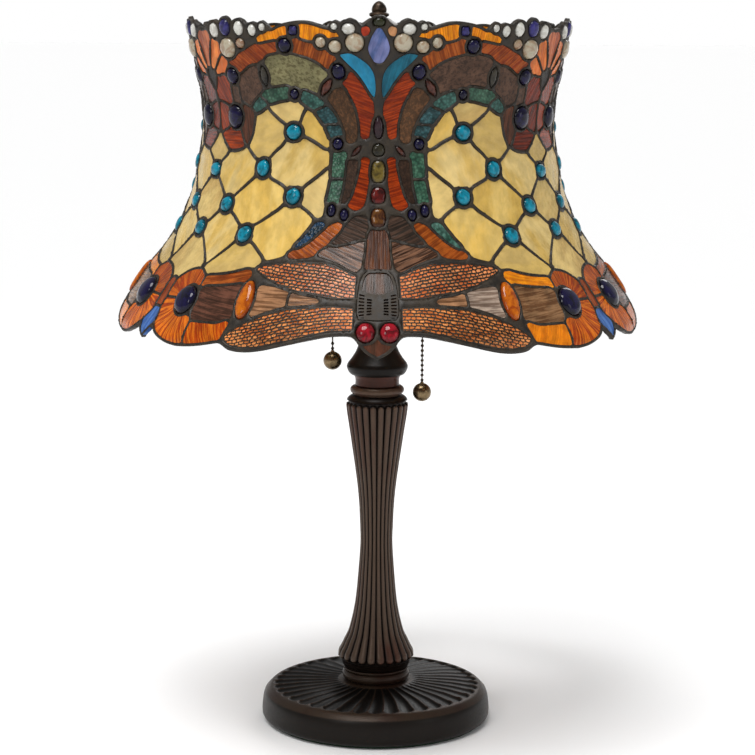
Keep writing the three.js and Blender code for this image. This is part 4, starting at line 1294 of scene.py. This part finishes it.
def build_leading(pieces):
    """The solder: one raised net with a hole for every piece of glass, round the whole shade."""
    holes = [on_plane(piece.outline) for piece in pieces]
    lower = curve_through(on_plane(LOWER_RIM), RIM_STEP)
    upper = curve_through(on_plane(UPPER_RIM), RIM_STEP)
    domain = (
        lower + upright(LEAD_SIDE, lower[-1][1], upper[-1][1]) + list(reversed(upper))
        + list(reversed(upright(0, lower[0][1], upper[0][1])))
    )
    edges = [p for hole in holes for p in hole] + lower + upper
    mirrored = [Vector((-p[0], p[1])) for p in edges if p[0] < MIRROR_REACH]
    mirrored += [
        Vector((2 * LEAD_SIDE - p[0], p[1])) for p in edges if p[0] > LEAD_SIDE - MIRROR_REACH
    ]
    near = nearest_tree(edges + mirrored)
    beside = [p for hole in holes for p in points_beside(hole)]
    grid = spaced_grid((0, LEAD_LOW), (LEAD_SIDE, LEAD_HIGH), LEAD_GRID)
    points, triangles = fill([domain] + holes, well_spaced(beside + grid, near))

    plane = np.array(points, float)
    away = np.array([near.find((p[0], p[1], 0))[2] for p in points])
    crown = np.sqrt(np.clip(1 - (1 - np.clip(away / LEAD_ROUNDING, 0, 1)) ** 2, 0, 1))
    x, height = plane[:, 0], plane[:, 1]
    ripple = LEAD_RIPPLE * np.sin(x * 0.9 + 2 * np.sin(height * 0.31)) * np.sin(height * 0.8)
    outer = on_shade(x / PLANE_SCALE, height, LEAD_EDGE + (LEAD_RISE + ripple) * crown)
    inner = on_shade(x / PLANE_SCALE, height, -GLASS_THICKNESS - LEAD_EDGE - 0.8 * LEAD_RISE * crown)

    def on_axis(edge):
        ends = (points[edge[0]][0], points[edge[1]][0])
        return max(ends) < 1e-3 or min(ends) > LEAD_SIDE - 1e-3

    half, faces = np.concatenate([outer, inner]), slab(points, triangles, skip=on_axis)
    copies, all_faces = [], []
    for motif in range(MOTIFS):
        for mirrored in (False, True):
            all_faces += placed_faces(faces, mirrored, len(copies) * len(half))
            copies.append(copy_points(half, mirrored, motif))
    made = make_object("shade_leading", *welded(np.concatenate(copies), all_faces),
                       [MATERIALS["lead"]], sharp=60)
    place_on(made, "shade", "dark_bronze")


def welded(points, faces, within=2e-5):
    """Joins points that coincide, so that the mirrored copies become one net."""
    around = list(itertools.product((-1, 0, 1), repeat=3))
    cells, index, kept = {}, [], []
    for p in points:
        x, y, z = (math.floor(c / within) for c in p)
        near = [cells.get((x + i, y + j, z + k)) for i, j, k in around]
        same = [j for j in near if j is not None and np.abs(kept[j] - p).max() < within]
        if not same:
            same = [len(kept)]
            cells[x, y, z] = len(kept)
            kept.append(p)
        index.append(same[0])
    made = []
    for face in faces:
        face = [index[i] for i in face]
        face = [v for k, v in enumerate(face) if v != face[k - 1]]
        if len(set(face)) >= 3:
            made.append(tuple(face))
    return np.array(kept), made


# ---------------------------------------------------------------- filigree over wings and thorax
def edge_height(outline, angle, top):
    """Height of the upper or lower edge of an outline at an angle."""
    found = []
    for (a0, z0), (a1, z1) in zip(outline, outline[1:] + outline[:1]):
        if min(a0, a1) <= angle <= max(a0, a1) and a0 != a1:
            found.append(z0 + (z1 - z0) * (angle - a0) / (a1 - a0))
    return max(found) if top else min(found)


def wing_cells(outline, pitch, length, seed):
    """Brick-like cells in rows along a wing's middle line, their corners shaken out of line."""
    chance = random.Random(seed)
    first, last = min(p[0] for p in outline) - 0.5, max(p[0] for p in outline) + 1.5
    columns = 2 * int((last - first) * degree_length(400) / length)
    tallest = max(p[1] for p in outline) - min(p[1] for p in outline)
    rows = int(tallest / pitch) + 2
    middles = middle_line(outline)
    grid = {}
    for column in range(columns + 1):
        angle = first + (last - first) * column / columns
        centre = float(middles(angle))
        for row in range(rows + 1):
            height = centre + (row - rows / 2) * pitch
            grid[row, column] = (angle + chance.uniform(-0.25, 0.25), height + chance.uniform(-0.48, 0.48))
    cells = []
    for row in range(rows):
        for column in range(row % 2, columns - 1, 2):
            low = [grid[row, column + k] for k in (0, 1, 2)]
            high = [grid[row + 1, column + k] for k in (2, 1, 0)]
            cells.append(low + high)
    return cells


def middle_line(outline):
    """Height of the middle of an outline at any angle."""
    first, last = min(p[0] for p in outline), max(p[0] for p in outline)
    angles = [first + (last - first) * (k + 0.5) / 12 for k in range(12)]
    heights = [(edge_height(outline, a, False) + edge_height(outline, a, True)) / 2 for a in angles]
    return lambda angle: np.interp(angle, angles, heights)


def shrunk(points, width):
    """A closed plane outline drawn in by width, or None when nothing would be left."""
    middle = sum(points, Vector((0, 0))) / len(points)
    made = []
    count = len(points)
    for i, p in enumerate(points):
        before, after = (p - points[i - 1]), (points[(i + 1) % count] - p)
        if before.length < 1e-6 or after.length < 1e-6:
            continue
        n0 = Vector((-before[1], before[0])).normalized()
        n1 = Vector((-after[1], after[0])).normalized()
        bend = n0 + n1
        if bend.length < 0.3:
            bend = (middle - p).normalized() * 0.3
        bend = bend.normalized() * min(width / max(0.5, bend.length / 2), 2 * width)
        made.append(p + bend)
    return made if len(made) > 2 and signed_area(made) > 0.8 else None


def crosses_itself(points):
    """Whether any two sides of a closed plane outline cross."""
    sides = [(p, points[(i + 1) % len(points)]) for i, p in enumerate(points)]
    return any(
        intersect_line_line_2d(*sides[i], *sides[j])
        for i in range(len(sides)) for j in range(i + 2, len(sides) - (i == 0))
    )


def grille(outline, cells, bar, frame_width, top, bottom):
    """A pierced plate on the shade: every cell is cut out of the part inside its frame."""
    middle = centre_of(outline)
    edge = divided(flat(outline, middle), 3.0)
    if signed_area(edge) < 0:
        edge.reverse()
    loops = [edge, shrunk(edge, frame_width)]
    for cell in cells:
        plane = flat(cell, middle)
        if signed_area(plane) < 0:
            plane.reverse()
        hole = shrunk(plane, bar / 2)
        hole = hole and softened(hole, 0.7, steps=3)
        if hole and not crosses_itself(hole):
            loops.append(hole)
    points, found = triangulated(loops)
    points, triangles = only_used(points, [
        face for face, inside in found if 0 in inside and not (1 in inside and max(inside) > 1)
    ])
    plane = np.array(points, float)
    scale = degree_length(middle[1])
    angle, height = middle[0] + plane[:, 0] / scale, middle[1] + plane[:, 1]
    outer = on_shade(angle, height, np.full(len(points), top))
    inner = on_shade(angle, height, np.full(len(points), bottom))
    return np.concatenate([outer, inner]), slab(points, triangles)


THORAX_WINDOW = [
    (0, 426.9), (2.2, 426.6), (3.1, 423.8), (3.6, 418.4), (3.7, 413.4), (2.3, 411), (0, 409.6),
]
SLOT_ROWS = np.linspace(392.9, 409.3, 8)
SLOT_MIDDLE, SLOT_FAN = 401, 0.08
SLOT_COLUMNS = ((2.75, 4.2, 1.9, 99), (1.15, 2.45, 2.1, 7))    # from, to, thickness, farthest row


def thorax_cells():
    """Openings of the thorax web: a window above, then slots that fan out from the middle."""
    cells = [both_sides(THORAX_WINDOW)]
    for height in SLOT_ROWS:
        rise = height - SLOT_MIDDLE
        for inner, outer, thick, farthest in SLOT_COLUMNS:
            if abs(rise) > farthest:
                continue
            low = height - rise * SLOT_FAN * (3 - inner)
            high = height - rise * SLOT_FAN * (3 - outer)
            slot = [(inner, low - thick / 2), (outer, high - thick / 2), (outer, high + thick / 2),
                    (inner, low + thick / 2)]
            cells += [slot, [(-angle, level) for angle, level in reversed(slot)]]
    return cells


CELL_PITCH, CELL_LENGTH = 2.35, 4.4
WING_PLATE = dict(bar=0.6, frame_width=0.7, top=0.45, bottom=-0.3)
THORAX_PLATE = dict(bar=0.7, frame_width=0.9, top=1.1, bottom=-0.3)


def build_filigree():
    plates = [
        grille(wing, wing_cells(wing, CELL_PITCH, CELL_LENGTH, seed), **WING_PLATE)
        for wing, seed in ((UPPER_WING, 3), (LOWER_WING, 5))
    ]
    thorax, thorax_faces = grille(both_sides(THORAX), thorax_cells(), **THORAX_PLATE)
    for motif in range(MOTIFS):
        for mirrored in (False, True):
            points, faces, total = [], [], 0
            for plate, plate_faces in plates:
                points.append(copy_points(plate, mirrored, motif))
                faces += placed_faces(plate_faces, mirrored, total)
                total += len(plate)
            side = "left" if mirrored else "right"
            made = make_object(f"wing_filigree_{motif + 1}_{side}", np.concatenate(points), faces,
                               [MATERIALS["filigree"]])
            place_on(made, "shade", "dark_bronze")
    for motif in range(MOTIFS):
        made = make_object(f"thorax_web_{motif + 1}", copy_points(thorax, False, motif), thorax_faces,
                           [MATERIALS["filigree"]])
        place_on(made, "shade", "dark_bronze")


# ---------------------------------------------------------------- turned and cast metal
def arc(centre, radius, start, end, steps=10):
    """Profile points (radius, height) on an arc, angles in degrees from straight outward."""
    made = []
    for k in range(steps + 1):
        turn = math.radians(start + (end - start) * k / steps)
        made.append((centre[0] + radius * math.cos(turn), centre[1] + radius * math.sin(turn)))
    return made


def rounded(profile, reach=0.6, steps=4):
    """Softens the corners of an open profile, except those on the axis."""
    made = [profile[0]]
    for before, p, after in zip(profile, profile[1:], profile[2:]):
        before, p, after = Vector(before), Vector(p), Vector(after)
        back, ahead = before - p, after - p
        if back.length < 1e-6 or ahead.length < 1e-6:
            continue
        if math.degrees(math.pi - back.angle(ahead)) < 12 or p[0] < 1e-6:
            made.append(tuple(p))
            continue
        cut = min(reach, 0.45 * back.length, 0.45 * ahead.length)
        start, end = p + back.normalized() * cut, p + ahead.normalized() * cut
        for k in range(steps + 1):
            t = k / steps
            made.append(tuple((1 - t) ** 2 * start + 2 * t * (1 - t) * p + t * t * end))
    return made + [profile[-1]]


def turned_body(outer, inner=(), sides=96, shape=None):
    """Points and faces of a body of revolution from profiles in millimetres.

    outer runs up the outside, inner comes back down the bore; shape may move a point:
    shape(angle in degrees, radius, height) gives a new radius and height.
    """
    profile = list(outer) + list(inner)
    closed = bool(inner)
    points, rings = [], []
    for radius, height in profile:
        if radius < 1e-6:
            points.append((0.0, 0.0, height * MM))
            rings.append([len(points) - 1] * sides)
            continue
        ring = []
        for k in range(sides):
            angle = 360 * k / sides
            r, z = shape(angle, radius, height) if shape else (radius, height)
            turn = math.radians(angle)
            ring.append(len(points))
            points.append((r * math.sin(turn) * MM, -r * math.cos(turn) * MM, z * MM))
        rings.append(ring)
    faces = []
    pairs = list(zip(rings, rings[1:])) + ([(rings[-1], rings[0])] if closed else [])
    for low, high in pairs:
        for k in range(sides):
            a, b, c, d = low[k], low[(k + 1) % sides], high[(k + 1) % sides], high[k]
            corners = [v for i, v in enumerate((a, b, c, d)) if v not in (a, b, c, d)[:i]]
            if len(corners) > 2:
                faces.append(tuple(corners))
    return np.array(points), faces


def lathe(name, outer, inner, material, body, slot, replaced, place=None, sides=96, relief=1.0, sharp=40):
    """A turned piece that stands for a CAD node; place is a matrix in millimetres."""
    points, faces = turned_body(outer, inner, sides)
    if place is not None:
        points = moved(points, place)
    made = make_object(name, points, faces, [MATERIALS[material]],
                       attributes=[("relief", "FLOAT", np.full(len(points), relief))], sharp=sharp)
    place_on(made, body, slot, *replaced)
    return made


def moved(points, place):
    """Points in metres moved by a matrix whose translation is in millimetres."""
    matrix = np.array(place)
    return points @ matrix[:3, :3].T + matrix[:3, 3] * MM


# ---------------------------------------------------------------- foot, column and neck
def on_circle(radius, angle, height):
    turn = math.radians(angle)
    return (radius * math.sin(turn) * MM, -radius * math.cos(turn) * MM, height * MM)


def plain(profile, relief):
    """Round rings through a profile, all with the same relief."""
    return [lambda angle, at=at: (*at, relief) for at in profile]


def ring_body(name, rings, sides, material, sharp, over_top=False):
    """A closed body whose rings each give radius, height and relief at an angle.

    The rings start up the outside, or out over the top, and the last one joins the first.
    """
    found = [ring(360 * k / sides) for ring in rings for k in range(sides)]
    angles = [360 * k / sides for k in range(sides)] * len(rings)
    points = [on_circle(radius, angle, height) for (radius, height, _), angle in zip(found, angles)]
    faces = []
    for row in range(len(rings)):
        low, high = row * sides, (row + 1) % len(rings) * sides
        for k in range(sides):
            ahead = (k + 1) % sides
            corners = (low + k, low + ahead, high + ahead, high + k)
            faces.append(corners[::-1] if over_top else corners)
    return make_object(name, points, faces, [MATERIALS[material]],
                       attributes=[("relief", "FLOAT", [high for _, _, high in found])], sharp=sharp)


FLUTES = 40
FLUTE_START, FLUTE_END = 32.5, 93.0
FOOT_TOP = smooth_profile([(5.6, 35.6), (31, 35.4), (33, 34.9), (50, 33.8), (70, 32.9), (86, 31.3),
                           (90, 30.9), (95, 29.6), (99.5, 25.4)])


def foot_shape(angle, radius):
    """Radius, height and relief on top of the foot: concave flutes between thin raised ribs."""
    height = float(FOOT_TOP(radius))
    swirl = 5.0 * (radius - FLUTE_START) / (FLUTE_END - FLUTE_START)
    turn = (angle + swirl) * FLUTES / 360 % 1.0
    across = abs(2 * turn - 1)
    tip = 5.5 * math.sqrt(max(0.0, 1 - min(1.0, across / 0.95) ** 2))
    outer_end = float(ease(FLUTE_END - 5.5 + tip, FLUTE_END - 7.5 + tip, radius))
    inner_end = float(ease(FLUTE_START, FLUTE_START + 4, radius))
    hollow = (1 - across**2.6) * outer_end * inner_end
    depth = 0.9 + 1.7 * (radius - FLUTE_START) / (FLUTE_END - FLUTE_START)
    band = 0.75 * float(ease(FLUTE_END - 1, FLUTE_END + 3, radius))
    # this relief paints shade into the hollow flutes and a highlight on the ribs, through relief_bronze
    return radius, height - depth * hollow + 0.25 * band, 1 - 0.95 * hollow


FOOT_RADII = [5.6, 14, 22, 28, 31, 32.5, 34, 35.5, 37.5, 41, 46, 52, 58, 64, 70, 75, 80, 84, 86.5, 88, 89.1,
              90.2, 91.3, 92.4, 93.4, 94.4, 95.6, 96.8, 98, 99.2]
FOOT_SKIRT = [(100.4, 24.4), (101.4, 21.4), (102, 18), (102.5, 13.5), (102.8, 9), (102.6, 5.6),
              (101.6, 3.6), (99.8, 2.4), (97.5, 1.9)]
FOOT_INSIDE = [(93, 1.9), (96.4, 9), (94.4, 19), (86, 25.6), (30, 29.4), (5.6, 29.4)]
CORD_HOLE, CORD_HOLE_RADIUS, CORD_HOLE_LENGTH = (0, 100, 12), 6.2, 24


def build_foot():
    """The cast foot, with a hole through its back for the cord bushing."""
    rings = [lambda angle, radius=radius: foot_shape(angle, radius) for radius in FOOT_RADII]
    rings += plain(FOOT_SKIRT + FOOT_INSIDE, 0.62)
    made = ring_body("foot_casting", rings, FLUTES * 12, "foot", 62, over_top=True)
    pierce(made, CORD_HOLE, CORD_HOLE_RADIUS, CORD_HOLE_LENGTH)
    place_on(made, "root", "dark_bronze", "base_foot")


def pierce(made, at, radius, length):
    """Drills a round hole along Y through an object's wall."""
    points, faces = [], []
    sides = 32
    for end in (-1, 1):
        for k in range(sides):
            turn = 2 * math.pi * k / sides
            points.append(((at[0] + radius * math.cos(turn)) * MM, (at[1] + end * length / 2) * MM,
                           (at[2] + radius * math.sin(turn)) * MM))
    faces.append(tuple(range(sides)))
    faces.append(tuple(reversed(range(sides, 2 * sides))))
    for k in range(sides):
        ahead = (k + 1) % sides
        faces.append((k, k + sides, ahead + sides, ahead))
    mesh = bpy.data.meshes.new("drill")
    mesh.from_pydata(points, [], faces)
    drill = linked("drill", mesh)
    cut = made.modifiers.new("hole", "BOOLEAN")
    cut.operation = "DIFFERENCE"
    cut.solver = "EXACT"
    cut.object = drill
    graph = bpy.context.evaluated_depsgraph_get()
    graph.update()
    result = bpy.data.meshes.new_from_object(made.evaluated_get(graph), preserve_all_data_layers=True,
                                             depsgraph=graph)
    made.modifiers.clear()
    made.data = result
    bpy.data.objects.remove(drill)


REEDS = 24
REED_START, REED_END = 55.5, 289.4
COLUMN_RADIUS = smooth_profile([
    (54, 33.6), (58, 34.3), (62, 33.6), (67, 30.9), (73, 28.2), (78.5, 25.4), (90, 22.2), (101, 19.9),
    (112, 18.3), (134, 16.3), (162, 14.5), (179, 14.9), (196, 15.7), (212, 17.1), (229, 19.3), (250, 22.4),
    (261, 24), (272, 25.7), (279, 26.8), (287, 27.7), (291, 27.5),
])


def column_point(angle, height):
    """Radius, height and relief on the column: rounded reeds whose ends are round too."""
    radius = float(COLUMN_RADIUS(height))
    turn = angle * REEDS / 360 % 1.0
    across = abs(2 * turn - 1)
    width = math.pi * radius / REEDS
    bend = 0.95 * width * math.sqrt(max(0.0, 1 - across**2))
    from_end = min(height - REED_START, REED_END - height)
    shape = math.sqrt(max(0.0, 1 - across**2.0))
    end = float(ease(width - bend - 0.4, width - bend + 1.6, from_end))
    depth = min(2.5, 0.62 * width) + 0.5
    # high follows the round of each reed, so that it paints shade into the grooves and a highlight along
    # the crests
    high = shape * end
    return radius - depth * (1 - high), height, high


COLUMN_LOW = [(27.2, 47.4), (28.6, 47.6), (29.8, 49.2), (31.2, 52.8), (31.6, 53.6)]
COLUMN_HIGH = [(27.0, 291.4), (26.5, 292.6), (25.5, 293.8), (24.2, 294.8), (22.4, 295.6)]
COLUMN_BORE = [(5.6, 295.6), (5.6, 47.4)]


def build_column():
    """The reeded column; its rings lie closer together where the reeds end."""
    heights = [54.2, 54.9, 55.5] + [55.9 + 0.75 * k for k in range(9)]
    heights += [float(height) for height in np.arange(63, 280, 3.2)]
    heights += [280.4 + 0.75 * k for k in range(12)] + [289.4, 290.2]
    rings = plain(COLUMN_LOW, 0.55)
    rings += [lambda angle, height=height: column_point(angle, height) for height in heights]
    rings += plain(COLUMN_HIGH, 0.5) + plain(COLUMN_BORE, 0.3)
    made = ring_body("reeded_column", rings, REEDS * 14, "bronze", 70)
    place_on(made, "root", "dark_bronze", "column")


def build_turnings():
    bore = 5.6
    ring = [(bore, 35.7), (27, 35.7)] + arc((25.8, 40.3), 4.5, -75, 75) + [(29.3, 45.5), (29.3, 47.1),
                                                                           (bore, 47.1)]
    lathe("column_ring_turning", rounded(ring, 0.5), [], "foot", "root", "dark_bronze", ["column_ring"])
    bead = ([(bore, 295.9), (20.8, 295.9), (21.2, 296.6), (20.6, 297.2)]
            + arc((20.4, 300.4), 3.6, -66, 72) + [(20, 304), (bore, 304)])
    lathe("neck_bead_turning", rounded(bead, 0.7), [], "bronze", "root", "dark_bronze", ["neck_bead"])
    collar = [(bore, 304.3), (19.7, 304.3), (19.4, 308), (19.7, 311.2), (21.2, 314), (bore, 314)]
    lathe("neck_collar_turning", rounded(collar, 0.9), [], "turned", "root", "dark_bronze", ["neck_collar"])
    husk = [(bore, 314.3), (23.5, 314.3), (25.6, 316.6), (27, 320), (27.2, 321.8), (26, 324.6),
            (22.6, 328.8), (19.4, 334), (17, 339.6), (16.4, 346)]
    inner = [(13.4, 346), (14, 339), (19.6, 329), (22.5, 324.2), (20, 317.8), (bore, 317.8)]
    lathe("neck_husk_turning", rounded(husk, 0.7), inner, "black", "root", "dark_bronze", ["husk"])
    cap = [(8.6, 626.4), (14, 622.8), (26, 617), (36, 612.6), (45, 609), (45.4, 608.2), (45, 607.4),
           (26, 615.4), (13.6, 621.2), (11, 624.6), (3.6, 624.6), (3.6, 626.4)]
    lathe("vase_cap_turning", cap, [(8.0, 626.5)], "dark_bronze", "shade", "dark_bronze", ["vase_cap"])
    finial = [
        (0, 626.8), (6.4, 626.8), (7.4, 627.8), (8.6, 628.6), (8.7, 630.2), (7.6, 631), (6.2, 631.6),
        (6.5, 632.6),
        (6.6, 633.8), (6.2, 635.6), (5.4, 637.4), (4.2, 639), (2.6, 640.3), (1, 641), (0, 641.1),
    ]
    lathe("finial_turning", rounded(finial, 0.3), [], "dark_bronze", "finial", "dark_bronze", ["finial"],
          sides=48)


# ---------------------------------------------------------------- sockets, bulbs and pull chains
def socket_place(side):
    """The frame of a lamp socket: its own axis leans outward from the cluster body."""
    return Matrix.Translation((18 * side, 0, 362)) @ Matrix.Rotation(math.radians(50 * side), 4, "Y")


CHAIN_OUT = 39.8         # distance of the pull chains from the middle of the lamp
GLOBE, GLOBE_RADIUS, GLASS_WALL = (0, 88), 30, 1.2


def build_cluster():
    body = [(5.6, 346.3), (14.6, 346.3), (17.4, 348.6), (19.4, 352), (19.4, 366), (18.4, 368.6),
            (16, 370), (3.6, 370)]
    lathe("cluster_body_turning", rounded(body, 0.6), [(3.6, 346.4)], "black", "root", "dark_bronze",
          ["cluster_body"], sides=64)
    for side, name in ((-1, "left"), (1, "right")):
        build_socket(name, socket_place(side))
        build_bulb(name, socket_place(side))
        guide = [(2.1, 351.4), (4.4, 351.4), (4.2, 352.4), (3.5, 353.4), (3.4, 364), (2.1, 364)]
        lathe(f"chain_guide_turning_{name}", guide, [(2.1, 352)], "brass", "root", "antique_brass",
              [f"chain_guide_{name}"], Matrix.Translation((CHAIN_OUT * side, 0, 0)), 32)


def build_socket(name, place):
    cap = [(5.4, 4.8), (7.4, 4.8), (9.6, 5.2), (14.2, 7.6), (17, 11.6), (17, 19.8)]
    cap_inside = [(15.8, 19.8), (15.8, 12), (13.4, 8.6), (7.2, 6.0), (5.4, 6.0)]
    shell = [(17, 20.4), (17, 22), (16.5, 23), (16.5, 26), (16.9, 27), (16.5, 28), (16.5, 52.4),
             (17.3, 55.9)]
    shell_inside = [(16.3, 55.9), (15.7, 52.4), (15.7, 20.4)]
    for part, outer, inner in (("cap", rounded(cap, 0.5), cap_inside), ("shell", shell, shell_inside)):
        lathe(f"socket_{part}_turning_{name}", outer, inner, "brass", "root", "antique_brass",
              [f"socket_{part}_{name}"], place, 64)


def build_bulb(name, place):
    """The bulb's glass, outside and inside, with the thread of its base."""
    thread = [(12.5 + 0.45 * (-1) ** k, 25.4 + 0.95 * k) for k in range(22)]
    outside = [(0.0, 24.4), (12.8, 24.5)] + thread + [(12.9, 47), (13.6, 51), (15.4, 57), (20, 65)]
    outside += arc(GLOBE, GLOBE_RADIUS, -46, 88, 22) + [(0.0, 118.0)]
    inside = [(0.0, 26.0), (11.4, 26.0), (11.6, 46), (12.0, 50), (14.2, 57.4), (18.9, 65.4)]
    inside += arc(GLOBE, GLOBE_RADIUS - GLASS_WALL, -46, 88, 22) + [(0.0, 118.0 - GLASS_WALL)]
    points, faces = turned_body(outside, (), 64)
    inner_points, inner_faces = turned_body(inside, (), 64)
    both = np.concatenate([points, inner_points])
    faces = faces + placed_faces(inner_faces, True, len(points))
    made = make_object(f"bulb_glass_{name}", moved(both, place), faces, [MATERIALS["bulb"]], sharp=50)
    place_on(made, "root", "bulb_glass", f"bulb_{name}")


BEAD_PITCH = 4.4
BEAD_RADIUS = 1.5


def bead_profile(low, high):
    """Bead chain as one turned string: round beads joined by a thin wire."""
    made = [(0.0, low)]
    height = low + BEAD_RADIUS
    while height + BEAD_RADIUS <= high:
        made += [(BEAD_RADIUS * math.sin(math.radians(t)), height - BEAD_RADIUS * math.cos(math.radians(t)))
                 for t in (24, 50, 76, 104, 130, 156)]
        height += BEAD_PITCH
    return made + [(0.6, high - 0.05), (0.0, high)]


def build_chains():
    for side, name, ball_height in ((-1, "left", 326.0), (1, "right", 298.0)):
        place = Matrix.Translation((CHAIN_OUT * side, 0, 0))
        link = [(0.0, 347.3), (1.15, 347.6), (1.15, 361.2), (0.0, 361.4)]
        lathe(f"pull_link_rod_{name}", link, [], "brass", f"pull_{name}", "antique_brass",
              [f"pull_link_{name}"], place, 16)
        lathe(f"bead_chain_{name}", bead_profile(ball_height + 9.4, 346.9), [], "chain", f"chain_{name}",
              "antique_brass", [f"pull_chain_{name}"], place, 16)
        ball = [(0.0, ball_height - 8.2)]
        ball += arc((0, ball_height), 8.2, -86, 70, 22)
        ball += [(1.6, ball_height + 8.2), (1.4, ball_height + 9.2), (0.8, ball_height + 9.6),
                 (0.0, ball_height + 9.6)]
        lathe(f"pull_ball_turned_{name}", ball, [], "ball", f"chain_{name}", "antique_brass",
              [f"pull_ball_{name}"], place, 48)


# ---------------------------------------------------------------- CAD parts that stay
KEPT = {
    "base_felt": "felt", "base_weight": "iron", "cord_bushing": "phenolic", "internal_lead": "wire",
    "rod_nut": "steel", "lock_washer": "steel", "center_rod": "steel", "riser_rod": "steel",
    "socket_nipple_left": "steel", "socket_nipple_right": "steel", "socket_insert_left": "card",
    "socket_insert_right": "card", "shade_spider": "lead", "shade_band": "lead",
}


def finish_kept_parts():
    for name, key in KEPT.items():
        cad = bpy.data.objects[name]
        cad.data.materials.clear()
        cad.data.materials.append(MATERIALS[key])
        cad.data.polygons.foreach_set("use_smooth", np.ones(len(cad.data.polygons), bool))
        cad.data.set_sharp_from_angle(angle=math.radians(30))


# ---------------------------------------------------------------- the whole lamp
build_materials()
build_camera()
build_lights()
build_sky()
build_floor()
finish_kept_parts()
build_foot()
build_column()
build_turnings()
build_cluster()
build_chains()
pattern = lattice_pieces() + dragonfly_pieces() + crown_pieces() + wing_pieces() + eye_panel_pieces()
grow(pattern)
build_glass(pattern)
build_leading(pattern)
build_filigree()
